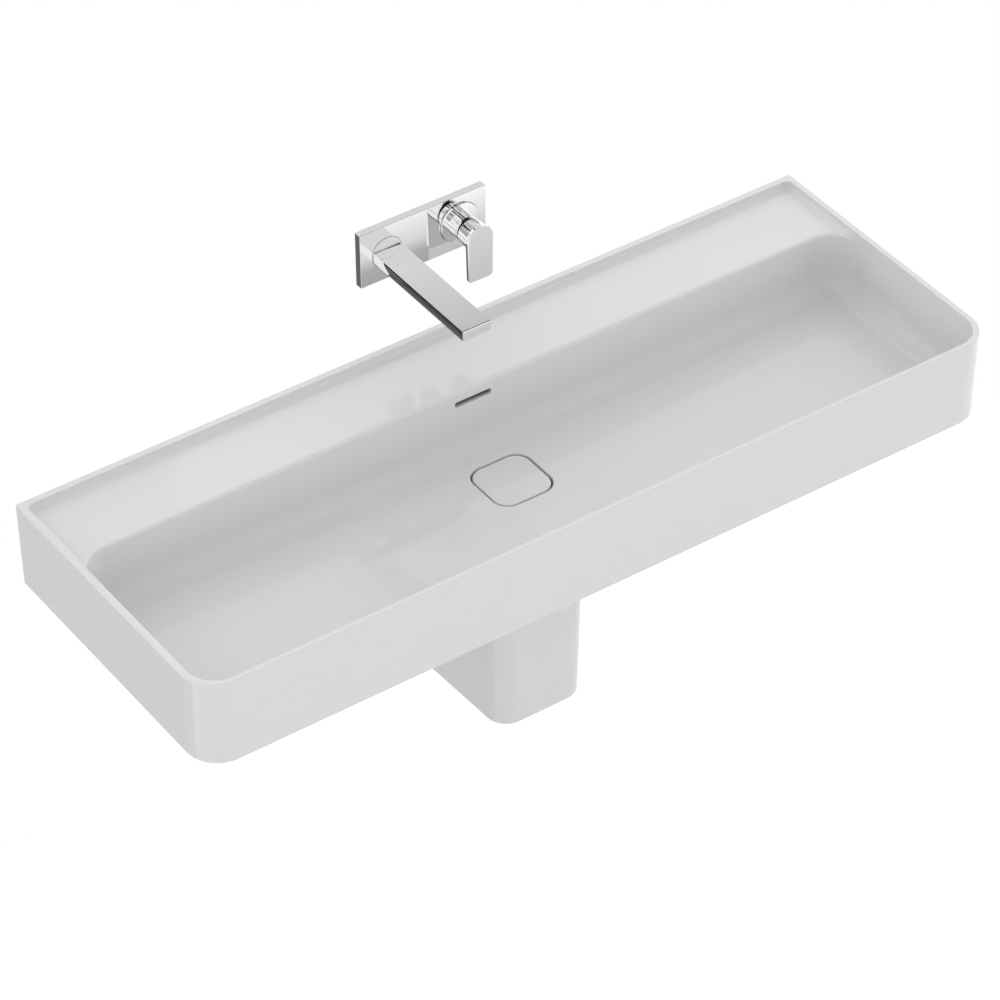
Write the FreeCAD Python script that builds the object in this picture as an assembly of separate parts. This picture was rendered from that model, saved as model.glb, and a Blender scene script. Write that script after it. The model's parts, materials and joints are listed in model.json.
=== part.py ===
"""Wall-hung washbasin, 1200 mm wide, with its click waste, bottle trap, half pedestal
and the wall-mounted single-lever mixer above it.

Frame: millimetres, +Z up, the wall face is the plane Y = 0 and the room is at -Y.
The origin is the middle of the two basin fixings, on the wall face.
"""
import FreeCAD
import Part

import math
import os

from FreeCAD import Vector

os.makedirs("parts", exist_ok=True)

X_AXIS = Vector(1, 0, 0)
Y_AXIS = Vector(0, 1, 0)
Z_AXIS = Vector(0, 0, 1)
DOWN = Vector(0, 0, -1)
ROOM = Vector(0, -1, 0)

# General clearances and the overrun that every cut takes past a face
overrun = 1.0
running_gap = 0.3
sliding_gap = 0.1
thread_gap = 0.1

# Basin, outer shape
basin_width = 1200.0
basin_depth = 430.0
basin_height = 127.4
fixing_below_rim = 80.0
wall_draft = 2.4
corner_radius = 46.0
rim_round = 2.5
side_rim = 9.0
front_rim = 7.0
back_rim = 9.0

# Basin, tap ledge and bowl
ledge_drop = 11.0
ledge_front = 120.0
ledge_foot_round = 8.0
ledge_corner_round = 10.0
ledge_lip = 6.0
bowl_depth = 97.0
bowl_side_slope = 3.0
bowl_back_slope = 6.0
bowl_back_corner = 45.0
bowl_front_corner = 39.5
bowl_floor_round = 34.0
floor_fall = 10.6

# Basin, walls and underside
skirt_wall = 12.0
floor_wall = 13.4
ledge_wall = 12.0
back_wall = 14.0
pad_margin = 16.0

# Basin, drain and overflow
drain_from_wall = 206.0
drain_half = 44.0
drain_corner = 23.5
drain_recess = 13.0
waste_hole_radius = 23.0
boss_radius = 44.0
boss_drop = 24.6
overflow_half_width = 28.5
overflow_height = 8.0
overflow_below_rim = 29.5
duct_half_width = 30.0
duct_depth = 16.0
duct_wall = 8.0
duct_under_height = 10.0

# Basin fixings
fixing_spacing = 800.0
fixing_bolt_radius = 5.0
fixing_screw_radius = 4.8
fixing_screw_length = 64.0
fixing_sleeve_radius = 8.7
fixing_sleeve_flange = 13.0
fixing_flange_thickness = 2.0
fixing_washer_radius = 15.0
fixing_washer_thickness = 3.0
fixing_nut_flats = 17.0
fixing_nut_height = 8.0
fixing_bolt_proud = 8.0

# Waste
waste_thread_radius = 20.9
waste_bore_radius = 18.6
waste_flange_radius = 31.5
waste_flange_thickness = 3.0
waste_seal_thickness = 1.5
waste_length = 88.0
waste_seat_radius = 22.0
waste_slot_half_width = 7.0
cone_washer_radius = 30.0
cone_washer_height = 7.0
cone_washer_taper = 5.0
backnut_flats = 54.0
backnut_height = 10.0

# Waste cover and plug
cover_gap = 2.0
cover_thickness = 6.0
cover_round = 1.0
plug_disc_radius = 27.0
plug_disc_thickness = 2.0
plug_seal_inner = 12.0
plug_seal_height = 2.8
plug_stem_radius = 4.0
plug_lift = 8.0
stem_collar_radius = 8.2
stem_collar_height = 3.0
stem_collar_drop = 10.0
clicker_hub_radius = 9.0
clicker_hub_height = 18.0
clicker_arm_half = 1.5
clicker_drop = 34.0
spring_wire_radius = 0.6
spring_radius = 6.4
spring_turns = 6

# Bottle trap
tube_radius = 16.0
tube_wall = 1.3
trap_nut_radius = 27.0
trap_nut_length = 22.0
trap_washer_height = 6.0
tube_entry = 16.0
bottle_radius = 34.0
bottle_wall = 3.0
bottle_top_below_rim = 285.0
bottle_height = 92.0
bottle_socket_height = 24.0
socket_wall = 4.0
dip_below_outlet = 48.0
outlet_below_bottle_top = 26.0
outlet_socket_length = 26.0
cup_height = 40.0
cup_radius = 37.0
cup_wall = 3.0
cup_neck_height = 14.0
cup_seal_height = 2.0
outlet_pipe_in_wall = 50.0
outlet_bead_height = 1.5
outlet_bead_width = 2.0
rosette_radius = 34.0
rosette_height = 9.0

# Half pedestal
pedestal_height = 324.0
pedestal_bottom_half_back = 78.5
pedestal_bottom_half_front = 68.3
pedestal_bottom_reach = 276.0
pedestal_flare = 6.0
pedestal_corner = 30.0
pedestal_wall = 10.0
pedestal_ear_width = 34.0
pedestal_ear_thickness = 12.0
pedestal_ear_height = 60.0
pedestal_ear_drop = 66.0
pedestal_fixing_spacing = 96.0
pedestal_bolt_radius = 4.0
pedestal_screw_radius = 3.75
pedestal_screw_length = 49.0
pedestal_hole_radius = 5.5
pedestal_washer_radius = 11.0
pedestal_washer_thickness = 2.0
pedestal_nut_flats = 13.0
pedestal_nut_height = 6.5

# Mixer, plate
mixer_above_rim = 160.8
plate_width = 191.0
plate_height = 81.4
plate_depth = 10.5
plate_wall = 2.5
plate_gasket_depth = 3.2
gasket_inset = 3.0
gasket_width = 5.0
port_spacing = 110.0

# Mixer, body in the wall
nose_radius = 16.5
nose_reach = 22.0
chamber_radius = 20.0
chamber_depth = 50.0
cross_tube_radius = 11.0
cross_tube_inset = 34.0
spout_port_radius = 15.0
nipple_radius = 10.4
nipple_bore = 6.5
nipple_in_port = 26.0
nipple_reach = 10.0
inlet_spacing = 48.0
inlet_radius = 14.0
inlet_thread_radius = 9.3
inlet_thread_depth = 16.0
inlet_drop = 52.0
inlet_head = 12.0
waterway_radius = 4.0
port_way_radius = 5.0
feed_radius = 3.0
bracket_half_width = 18.0
bracket_half_height = 42.0
bracket_thickness = 6.0
bracket_hole_radius = 3.2
bracket_hole_spacing = 64.0

# Mixer, cartridge
cartridge_radius = 12.5
cartridge_seat = 16.0
cartridge_seal_height = 2.0
cartridge_base = 2.0
cartridge_shoulder = 12.0
cartridge_neck_radius = 11.0
cartridge_neck_reach = 24.0
cartridge_nut_height = 8.0
cartridge_nut_radius = 15.0
disc_chamber_radius = 11.2
fixed_disc_radius = 10.6
disc_thickness = 3.6
moving_disc_radius = 8.0
driver_radius = 7.4
driver_half_width = 2.9
driver_half_height = 4.0
driver_reach = 21.5
driver_pocket_depth = 8.0
rotor_radius = 9.0
rotor_flange_radius = 10.8
rotor_flange_thickness = 2.4
rotor_front = 26.0
rotor_slot_half_height = 7.7
fork_thickness = 3.0
fork_reach = 35.0
fork_bottom = 4.0
fork_top = 10.0
pivot_reach = 31.0
pivot_rise = 6.0
pivot_pin_radius = 1.5
ball_radius = 2.4
ball_reach = 19.0
stem_arm_radius = 1.6
stem_half = 3.0
stem_reach = 49.0
stem_eye_radius = 3.5

# Mixer, sleeve and lever
escutcheon_radius = 28.8
escutcheon_thickness = 3.3
sleeve_radius = 18.2
sleeve_front = 33.8
sleeve_lip = 2.8
sleeve_lip_radius = 13.5
lever_gap_top = 3.4
lever_gap_bottom = 1.0
lever_front = 60.5
lever_top_radius = 19.6
lever_bottom_half = 18.4
lever_drop = 62.0
lever_corner = 5.0
paddle_thickness = 4.0
lever_cavity_radius = 15.2
lever_cavity_front = 50.0
lever_hub_radius = 6.5
lever_hub_back = 41.0
lever_screw_reach = 45.0
lever_screw_radius = 2.5
lever_plug_radius = 3.2
lever_plug_length = 2.0

# Mixer, spout
spout_root_radius = 22.2
spout_root_back = 1.5
spout_root_proud = 0.5
spout_top_rise = 6.3
spout_thickness = 14.5
spout_half_width = 21.1
spout_reach = 212.0
spout_blend = 24.0
spout_edge_round = 0.8
spout_socket_depth = 10.0
spout_way_half_width = 9.0
spout_way_height = 6.0
spout_way_end = 14.0
spout_screw_radius = 2.5
aerator_from_tip = 17.0
aerator_radius = 12.0
aerator_height = 7.0
aerator_flange_radius = 13.5
aerator_flange = 1.0
aerator_bore = 9.0
aerator_seal_height = 1.0

# Places that follow from the sizes
rim_top = fixing_below_rim
skirt_bottom = rim_top - basin_height
ledge_top = rim_top - ledge_drop
bowl_bottom = rim_top - bowl_depth
drain_top = bowl_bottom - floor_fall
floor_underside = drain_top - floor_wall
floor_core = drain_top - floor_wall / 2
recess_floor = drain_top - drain_recess
boss_bottom = skirt_bottom - boss_drop
bowl_half = basin_width / 2 - side_rim
bowl_front = basin_depth - front_rim
duct_under_top = recess_floor - duct_wall
mixer_z = rim_top + mixer_above_rim
spout_x = -port_spacing / 2
lever_x = port_spacing / 2
plate_front = plate_gasket_depth + plate_depth
pedestal_top = skirt_bottom
pedestal_bottom = pedestal_top - pedestal_height


def cylinder(radius, length, base, axis):
    """Round bar from its base point along an axis."""
    return Part.makeCylinder(radius, length, base, axis)


def tube(outer, inner, length, base, axis):
    """Round tube, cut right through."""
    bar = cylinder(outer, length, base, axis)
    bore = cylinder(inner, length + 2 * overrun, base - axis * overrun, axis)
    return bar.cut(bore)


def block(x_range, y_range, z_range):
    """Box between three pairs of coordinates."""
    low = Vector(x_range[0], y_range[0], z_range[0])
    size = (x_range[1] - x_range[0], y_range[1] - y_range[0], z_range[1] - z_range[0])
    return Part.makeBox(size[0], size[1], size[2], low)


def hexagon(flats, length, base, axis):
    """Hexagonal bar across its flats."""
    corner_share = 1 / math.sqrt(3)
    side_radius = flats * corner_share
    turn = FreeCAD.Rotation(Z_AXIS, axis)
    corners = []
    for step in range(7):
        angle = math.radians(60 * step)
        corner = Vector(side_radius * math.cos(angle), side_radius * math.sin(angle), 0)
        corners.append(base + turn.multVec(corner))
    return Part.Face(Part.makePolygon(corners)).extrude(axis * length)


def hex_nut(flats, bore, length, base, axis):
    """Hexagonal nut with its bore."""
    hole = cylinder(bore, length + 2 * overrun, base - axis * overrun, axis)
    return hexagon(flats, length, base, axis).cut(hole)


def quarter(centre, radius, start_degrees):
    """Quarter circle in a level plane, from its start angle."""
    points = []
    for share in (0, 0.5, 1):
        angle = math.radians(start_degrees + 90 * share)
        points.append(centre + Vector(radius * math.cos(angle), radius * math.sin(angle), 0))
    return Part.Arc(points[0], points[1], points[2]).toShape()


def outline(half_back, half_front, back, front, back_radius, front_radius, level):
    """Level closed outline between two distances from the wall, with rounded corners.

    A corner radius of zero leaves the two corners at the back sharp.
    """
    lean = (half_back - half_front) / (front - back)
    corners = []
    for side, distance, radius, start in (
        (1, back, back_radius, 0),
        (-1, back, back_radius, 90),
        (-1, front, front_radius, 180),
        (1, front, front_radius, 270),
    ):
        inward = radius if distance == back else -radius
        half = half_back - lean * (distance + inward - back)
        centre = Vector(side * (half - radius), -(distance + inward), level)
        corners.append((centre, radius, start))
    edges = []
    first = None
    last = None
    for centre, radius, start in corners:
        if radius > 0:
            arc = quarter(centre, radius, start)
            begin, end = arc.valueAt(arc.FirstParameter), arc.valueAt(arc.LastParameter)
        else:
            arc = None
            begin = end = centre
        if last is not None:
            edges.append(Part.LineSegment(last, begin).toShape())
        else:
            first = begin
        if arc is not None:
            edges.append(arc)
        last = end
    edges.append(Part.LineSegment(last, first).toShape())
    return Part.Wire(edges)


def loft(wires):
    """Solid with straight sides through level outlines of the same kind."""
    return Part.makeLoft(wires, True, True)


def edges_at(shape, level, accept):
    """Edges that lie at one level and pass a test on their middle point."""
    found = []
    for edge in shape.Edges:
        box = edge.BoundBox
        flat = abs(box.ZMin - level) < sliding_gap and abs(box.ZMax - level) < sliding_gap
        if flat and accept(edge.CenterOfMass):
            found.append(edge)
    return found


def along_x(spacing):
    """The two X places of a pair."""
    return (-spacing / 2, spacing / 2)


def group(shapes):
    """Separate solids that share a node."""
    return Part.makeCompound(shapes)


def basin_outer():
    """Outer block of the basin, narrower at its foot, with its rounded rim edge."""
    half = basin_width / 2
    shape = loft([
        outline(half, half, 0, basin_depth, 0, corner_radius, rim_top),
        outline(half - wall_draft, half - wall_draft, 0, basin_depth - wall_draft,
                0, corner_radius, skirt_bottom),
    ])
    rim_edges = edges_at(shape, rim_top, lambda point: point.y < -sliding_gap)
    return shape.makeFillet(rim_round, rim_edges)


def ledge_cut():
    """Space above the tap ledge, with a rounded foot along its back and sides."""
    shape = loft([
        outline(bowl_half, bowl_half, back_rim, ledge_front + bowl_back_corner + overrun,
                ledge_corner_round, ledge_corner_round, level)
        for level in (ledge_top, rim_top + ledge_foot_round)
    ])
    return shape.makeFillet(ledge_foot_round, edges_at(shape, ledge_top, lambda point: True))


def floor_halves(centre_level, run):
    """Two prisms that start at the floor's fall, this high at its middle, and run up or down.

    The floor falls evenly from both ends of the bowl to the middle.
    """
    reach = basin_width / 2
    rise = floor_fall * reach / (bowl_half - bowl_side_slope)
    halves = []
    for side in (-1, 1):
        corners = [
            Vector(0, overrun, centre_level),
            Vector(side * reach, overrun, centre_level + rise),
            Vector(side * reach, -basin_depth, centre_level + rise),
            Vector(0, -basin_depth, centre_level),
        ]
        face = Part.Face(Part.makePolygon(corners + corners[:1]))
        halves.append(face.extrude(Vector(0, 0, run)))
    return halves


def floor_edges(shape):
    """Edges around the foot of the bowl, without the line where its two slopes meet."""
    found = []
    for edge in shape.Edges:
        box = edge.BoundBox
        in_middle = abs(box.XMin) < sliding_gap and abs(box.XMax) < sliding_gap
        if box.ZMax < bowl_bottom + sliding_gap and not in_middle:
            found.append(edge)
    return found


def bowl_cut():
    """Space of the bowl down to its drain."""
    top = outline(bowl_half, bowl_half, ledge_front, bowl_front,
                  bowl_back_corner, bowl_front_corner, rim_top + overrun)
    foot_back = ledge_front + bowl_back_slope
    foot_half = bowl_half - bowl_side_slope
    foot_front = bowl_front - bowl_side_slope
    foot = outline(foot_half, foot_half, foot_back, foot_front,
                   bowl_back_corner, bowl_front_corner, drain_top - overrun)
    walls = loft([foot, top]).cut(floor_halves(drain_top, -floor_wall))
    walls = walls.makeFillet(bowl_floor_round, floor_edges(walls))
    lip = loft([
        outline(bowl_half, bowl_half, ledge_front - ledge_lip, bowl_front,
                bowl_back_corner, bowl_front_corner, ledge_top),
        outline(bowl_half, bowl_half, ledge_front + running_gap, bowl_front,
                bowl_back_corner, bowl_front_corner, ledge_top - ledge_lip),
    ])
    recess = loft([
        outline(drain_half, drain_half, drain_from_wall - drain_half,
                drain_from_wall + drain_half, drain_corner, drain_corner, level)
        for level in (recess_floor, bowl_bottom)
    ])
    return walls.fuse([lip, recess])


def overflow_ceramic():
    """Outside of the overflow duct, behind the bowl and along under its floor."""
    half = duct_half_width + duct_wall
    back = ledge_front - ledge_wall - duct_depth - duct_wall
    upright = block((-half, half), (-ledge_front, -back), (boss_bottom, ledge_top - ledge_wall))
    along = block((-half, half), (-drain_from_wall, -back), (boss_bottom, floor_core))
    return upright.fuse(along)


def overflow_cut():
    """Slot, upright duct and the way under the floor to the waste hole."""
    slot_z = rim_top - overflow_below_rim
    end_radius = overflow_height / 2
    reach = bowl_back_slope + ledge_wall + duct_depth
    start = -(ledge_front + bowl_back_slope + overrun)
    slot = block((-overflow_half_width + end_radius, overflow_half_width - end_radius),
                 (start, start + reach), (slot_z - end_radius, slot_z + end_radius))
    for side in (-1, 1):
        centre = Vector(side * (overflow_half_width - end_radius), start, slot_z)
        slot = slot.fuse(cylinder(end_radius, reach, centre, Y_AXIS))
    duct_front = ledge_front - ledge_wall
    upright = block((-duct_half_width, duct_half_width), (-duct_front, -duct_front + duct_depth),
                    (duct_under_top - duct_under_height, slot_z + overflow_height))
    along = block((-duct_half_width / 2, duct_half_width / 2), (-drain_from_wall, -duct_front),
                  (duct_under_top - duct_under_height, duct_under_top))
    return slot.fuse([upright, along])


def underside_cut():
    """Open space under the ledge and the shallow space under the floor."""
    half = basin_width / 2 - wall_draft - skirt_wall
    front = basin_depth - wall_draft - skirt_wall
    inner_corner = corner_radius - skirt_wall
    shallow = loft([
        outline(half, half, back_wall, front, ledge_corner_round, inner_corner, level)
        for level in (skirt_bottom - overrun, bowl_bottom)
    ]).cut(floor_halves(floor_underside, basin_height))
    deep_front = ledge_front - ledge_wall
    deep = loft([
        outline(half, half, back_wall, deep_front, ledge_corner_round, ledge_corner_round, level)
        for level in (skirt_bottom - overrun, ledge_top - ledge_wall)
    ])
    return shallow.fuse(deep)


def basin_pad():
    """Landing for the half pedestal under the floor, level with the foot of the skirt."""
    half_back = pedestal_bottom_half_back + pedestal_flare + pad_margin
    half_front = pedestal_bottom_half_front + pedestal_flare + pad_margin
    reach = pedestal_bottom_reach + pedestal_flare + pad_margin
    start = ledge_front - ledge_wall
    return loft([
        outline(half_back, half_front, start, reach, pad_margin, pedestal_corner, level)
        for level in (skirt_bottom, floor_core)
    ])


def basin_body():
    """Glazed ceramic basin in one piece."""
    drain = Vector(0, -drain_from_wall, boss_bottom)
    boss = cylinder(boss_radius, floor_core - boss_bottom, drain, Z_AXIS)
    shape = basin_outer().cut(underside_cut())
    shape = shape.fuse([basin_pad(), boss, overflow_ceramic()])
    hole = cylinder(waste_hole_radius, recess_floor - boss_bottom + 2 * overrun,
                    drain + DOWN * overrun, Z_AXIS)
    cuts = [bowl_cut(), ledge_cut(), overflow_cut(), hole]
    for x in along_x(fixing_spacing):
        base = Vector(x, -back_wall - overrun, 0)
        cuts.append(cylinder(fixing_sleeve_radius + sliding_gap, back_wall + 2 * overrun,
                             base, Y_AXIS))
    return shape.cut(cuts).removeSplitter()


def hanger_bolt(x, level, room_end, thread_radius, screw_radius, screw_length):
    """Hanger bolt: a machine thread on the room side and a thinner wood screw in the wall."""
    stud = cylinder(thread_radius, room_end, Vector(x, -room_end, level), Y_AXIS)
    screw = cylinder(screw_radius, screw_length, Vector(x, 0, level), Y_AXIS)
    return stud.fuse(screw)


def basin_fixings():
    """Hanger bolts, sleeves, washers and nuts that hold the basin, a pair of each."""
    bolts, sleeves, washers, nuts = [], [], [], []
    sleeve_face = back_wall + fixing_flange_thickness
    washer_face = sleeve_face + fixing_washer_thickness
    nut_face = washer_face + fixing_nut_height
    for x in along_x(fixing_spacing):
        room_end = nut_face + fixing_bolt_proud
        bolts.append(hanger_bolt(x, 0, room_end, fixing_bolt_radius, fixing_screw_radius,
                                 fixing_screw_length))
        body = tube(fixing_sleeve_radius, fixing_bolt_radius + thread_gap, back_wall,
                    Vector(x, -back_wall, 0), Y_AXIS)
        flange = tube(fixing_sleeve_flange, fixing_bolt_radius + thread_gap,
                      fixing_flange_thickness, Vector(x, -sleeve_face, 0), Y_AXIS)
        sleeves.append(body.fuse(flange))
        washers.append(tube(fixing_washer_radius, fixing_bolt_radius + thread_gap,
                            fixing_washer_thickness, Vector(x, -washer_face, 0), Y_AXIS))
        nuts.append(hex_nut(fixing_nut_flats, fixing_bolt_radius, fixing_nut_height,
                            Vector(x, -nut_face, 0), Y_AXIS))
    return {
        "basin_hanger_bolts": group(bolts),
        "basin_fixing_sleeves": group(sleeves),
        "basin_fixing_washers": group(washers),
        "basin_fixing_nuts": group(nuts),
    }


def drain_point(level):
    """Point on the waste's axis."""
    return Vector(0, -drain_from_wall, level)


flange_seat = recess_floor + waste_seal_thickness
flange_top = flange_seat + waste_flange_thickness
waste_end = flange_seat - waste_length
cover_bottom = drain_top - cover_thickness
plug_disc_bottom = cover_bottom - plug_disc_thickness
plug_seal_bottom = plug_disc_bottom - plug_seal_height
seal_seat = plug_seal_bottom - running_gap
clicker_top = flange_seat - clicker_drop
collar_bottom = plug_disc_bottom - stem_collar_drop - stem_collar_height


def waste_body():
    """Waste with its flange, plug seat and overflow windows."""
    body = cylinder(waste_thread_radius, waste_length, drain_point(waste_end), Z_AXIS)
    flange = cylinder(waste_flange_radius, waste_flange_thickness, drain_point(flange_seat), Z_AXIS)
    bore = cylinder(waste_bore_radius, flange_top - waste_end + 2 * overrun,
                    drain_point(waste_end - overrun), Z_AXIS)
    seat_radius = waste_seat_radius + running_gap
    seat = cylinder(seat_radius, flange_top - seal_seat + overrun, drain_point(seal_seat), Z_AXIS)
    neck = cylinder(waste_hole_radius - running_gap, flange_top - seal_seat + plug_disc_thickness,
                    drain_point(seal_seat - plug_disc_thickness), Z_AXIS)
    low = duct_under_top - duct_under_height
    window = block((-waste_slot_half_width, waste_slot_half_width),
                   (-drain_from_wall, -drain_from_wall + waste_flange_radius),
                   (low, duct_under_top))
    windows = []
    for step in range(4):
        turned = window.copy()
        turned.rotate(drain_point(low), Z_AXIS, 90 * step)
        windows.append(turned)
    return body.fuse([flange, neck]).cut([bore, seat] + windows)


def waste_washers():
    """Flange seal above the ceramic, tapered washer and back nut below it."""
    seal = tube(waste_flange_radius, waste_hole_radius + thread_gap, waste_seal_thickness,
                drain_point(recess_floor), Z_AXIS)
    washer_base = boss_bottom - cone_washer_height
    ring = cylinder(cone_washer_radius, cone_washer_height, drain_point(washer_base), Z_AXIS)
    taper = Part.makeCone(waste_hole_radius - thread_gap, waste_thread_radius + 2 * thread_gap,
                          cone_washer_taper, drain_point(boss_bottom), Z_AXIS)
    hole = cylinder(waste_thread_radius + thread_gap,
                    cone_washer_height + cone_washer_taper + 2 * overrun,
                    drain_point(washer_base - overrun), Z_AXIS)
    nut = hex_nut(backnut_flats, waste_thread_radius, backnut_height,
                  drain_point(washer_base - backnut_height), Z_AXIS)
    return {
        "waste_flange_seal": seal,
        "waste_cone_washer": ring.fuse(taper).cut(hole),
        "waste_backnut": nut,
    }


def waste_cover():
    """Ceramic cover, a rounded square with a softened top edge."""
    half = drain_half - cover_gap
    corner = drain_corner - cover_gap
    shape = loft([
        outline(half, half, drain_from_wall - half, drain_from_wall + half, corner, corner, level)
        for level in (cover_bottom, drain_top)
    ])
    return shape.makeFillet(cover_round, edges_at(shape, drain_top, lambda point: True))


def plug_pieces():
    """What hangs under the cover: its disc, the sealing ring and the stem with a collar."""
    disc = cylinder(plug_disc_radius, plug_disc_thickness, drain_point(plug_disc_bottom), Z_AXIS)
    disc_edge = waste_seat_radius - overrun
    disc = disc.cut(tube(plug_disc_radius + overrun, disc_edge,
                         plug_disc_thickness, drain_point(plug_disc_bottom - plug_disc_thickness / 2),
                         Z_AXIS))
    seal = tube(waste_seat_radius, plug_seal_inner, plug_seal_height,
                drain_point(plug_seal_bottom), Z_AXIS)
    stem_end = clicker_top - clicker_hub_height - plug_lift - overrun
    stem = cylinder(plug_stem_radius, plug_disc_bottom - stem_end, drain_point(stem_end), Z_AXIS)
    collar = cylinder(stem_collar_radius, stem_collar_height, drain_point(collar_bottom), Z_AXIS)
    return {"plug_disc": disc, "plug_seal": seal, "plug_stem": stem.fuse(collar)}


def clicker_housing():
    """Guide in the waste: a hub on three arms that rest against the bore."""
    base = clicker_top - clicker_hub_height
    hub = cylinder(clicker_hub_radius, clicker_hub_height, drain_point(base), Z_AXIS)
    arms = []
    for step in range(3):
        arm = block((-clicker_arm_half, clicker_arm_half),
                    (-drain_from_wall, -drain_from_wall + waste_bore_radius),
                    (base, base + clicker_hub_height / 2))
        arm.rotate(drain_point(base), Z_AXIS, 60 + 120 * step)
        arms.append(arm)
    bore = cylinder(plug_stem_radius + sliding_gap, clicker_hub_height + 2 * overrun,
                    drain_point(base - overrun), Z_AXIS)
    inside = cylinder(waste_bore_radius, clicker_hub_height, drain_point(base), Z_AXIS)
    return hub.fuse(arms).cut(bore).common(inside)


def helix_point(radius, pitch, level, turns):
    """Point of the spring's centre line and its direction there, after so many turns."""
    angle = 2 * math.pi * turns
    point = drain_point(level + pitch * turns)
    point += Vector(radius * math.cos(angle), radius * math.sin(angle), 0)
    direction = Vector(-math.sin(angle), math.cos(angle), pitch / (2 * math.pi * radius))
    return point, direction.normalize()


def arc_from(start, direction, end):
    """Arc that leaves a point in one direction and ends at another point."""
    chord = end - start
    normal = direction.cross(chord).normalize()
    inward = normal.cross(direction).normalize()
    radius = chord.dot(chord) / (2 * chord.dot(inward))
    centre = start + inward * radius
    middle = ((start + end) * 0.5 - centre).normalize()
    return Part.Arc(start, centre + middle * radius, end).toShape()


def biarc(start, direction, end, end_direction):
    """Two arcs that meet smoothly between two points with given directions."""
    chord = end - start
    both = direction + end_direction
    spread = 2 * (1 - direction.dot(end_direction))
    dot = chord.dot(both)
    reach = (-dot + math.sqrt(dot * dot + spread * chord.dot(chord))) / spread
    joint = (start + end + (direction - end_direction) * reach) * 0.5
    first = arc_from(start, direction, joint)
    second = arc_from(end, end_direction * -1, joint)
    return [first, second]


def clicker_spring():
    """Wire spring between the guide's top and the stem's collar."""
    low = clicker_top + running_gap + spring_wire_radius
    high = collar_bottom - running_gap - spring_wire_radius
    pitch = (high - low) / spring_turns
    edges = []
    quarters = 4 * spring_turns
    for step in range(quarters):
        start, direction = helix_point(spring_radius, pitch, low, step / 4)
        end, end_direction = helix_point(spring_radius, pitch, low, (step + 1) / 4)
        edges.extend(biarc(start, direction, end, end_direction))
    path = Part.Wire(edges)
    start, direction = helix_point(spring_radius, pitch, low, 0)
    section = Part.Wire([Part.makeCircle(spring_wire_radius, start, direction)])
    print("spring: least gap between turns", round(pitch - 2 * spring_wire_radius, 2), "mm")
    return path.makePipeShell([section], True, False)


trap_tail = waste_end
bottle_top = rim_top - bottle_top_below_rim
bottle_bottom = bottle_top - bottle_height
outlet_z = bottle_top - outlet_below_bottle_top
socket_radius = tube_radius + thread_gap + socket_wall


def trap_inlet():
    """Coupling to the waste's tail and the straight inlet tube down into the bottle."""
    washer = tube(waste_thread_radius, tube_radius, trap_washer_height,
                  drain_point(trap_tail - trap_washer_height), Z_AXIS)
    nut_base = trap_tail - trap_washer_height - bottle_wall
    nut = cylinder(trap_nut_radius, trap_nut_length, drain_point(nut_base), Z_AXIS)
    nut = nut.cut([
        cylinder(waste_thread_radius + thread_gap, trap_nut_length,
                 drain_point(nut_base + bottle_wall), Z_AXIS),
        cylinder(tube_radius + running_gap, trap_nut_length, drain_point(nut_base - overrun), Z_AXIS),
    ])
    tube_bottom = outlet_z - dip_below_outlet
    pipe = tube(tube_radius, tube_radius - tube_wall, trap_tail + tube_entry - tube_bottom,
                drain_point(tube_bottom), Z_AXIS)
    return {"trap_inlet_washer": washer, "trap_inlet_nut": nut, "trap_inlet_tube": pipe}


def compression_joint(point, axis):
    """Tapered washer and nut that hold a tube at the end of a socket."""
    washer = tube(socket_radius, tube_radius, trap_washer_height, point, axis)
    nut_length = trap_nut_length - trap_washer_height
    start = point - axis * (nut_length - trap_washer_height)
    nut = cylinder(socket_radius + socket_wall, nut_length + bottle_wall, start, axis)
    nut = nut.cut([
        cylinder(socket_radius + thread_gap, nut_length, start, axis),
        cylinder(tube_radius + running_gap, nut_length + 2 * bottle_wall, start, axis),
    ])
    return washer, nut


def trap_bottle():
    """Bottle with its inlet socket on top and the outlet socket towards the wall."""
    outer = cylinder(bottle_radius, bottle_height, drain_point(bottle_bottom), Z_AXIS)
    neck = cylinder(socket_radius, bottle_socket_height, drain_point(bottle_top), Z_AXIS)
    outlet_base = drain_point(outlet_z)
    outlet_length = bottle_radius + outlet_socket_length
    outlet = cylinder(socket_radius, outlet_length, outlet_base, Y_AXIS)
    inside = cylinder(bottle_radius - bottle_wall, bottle_height - bottle_wall + overrun,
                      drain_point(bottle_bottom - overrun), Z_AXIS)
    bore = tube_radius + thread_gap
    return outer.fuse([neck, outlet]).cut([
        inside,
        cylinder(bore, bottle_socket_height + bottle_wall + 2 * overrun,
                 drain_point(bottle_top - bottle_wall - overrun), Z_AXIS),
        cylinder(bore, outlet_length + overrun, outlet_base, Y_AXIS),
    ])


def trap_cup():
    """Cup screwed into the foot of the bottle, with its seal."""
    seal_base = bottle_bottom - cup_seal_height
    seal = tube(bottle_radius, bottle_radius - bottle_wall, cup_seal_height,
                drain_point(seal_base), Z_AXIS)
    cup_base = seal_base - cup_height
    neck_radius = bottle_radius - bottle_wall - thread_gap
    cup = cylinder(cup_radius, cup_height, drain_point(cup_base), Z_AXIS)
    neck = cylinder(neck_radius, cup_neck_height, drain_point(seal_base), Z_AXIS)
    bore = cylinder(neck_radius - cup_wall, cup_height + cup_neck_height,
                    drain_point(cup_base + cup_wall), Z_AXIS)
    hollow = cylinder(cup_radius - cup_wall, cup_height - 2 * cup_wall,
                      drain_point(cup_base + cup_wall), Z_AXIS)
    cup = cup.makeFillet(cup_wall, edges_at(cup, cup_base, lambda point: True))
    return {"trap_cup_seal": seal, "trap_cup": cup.fuse(neck).cut([bore, hollow])}


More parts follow.
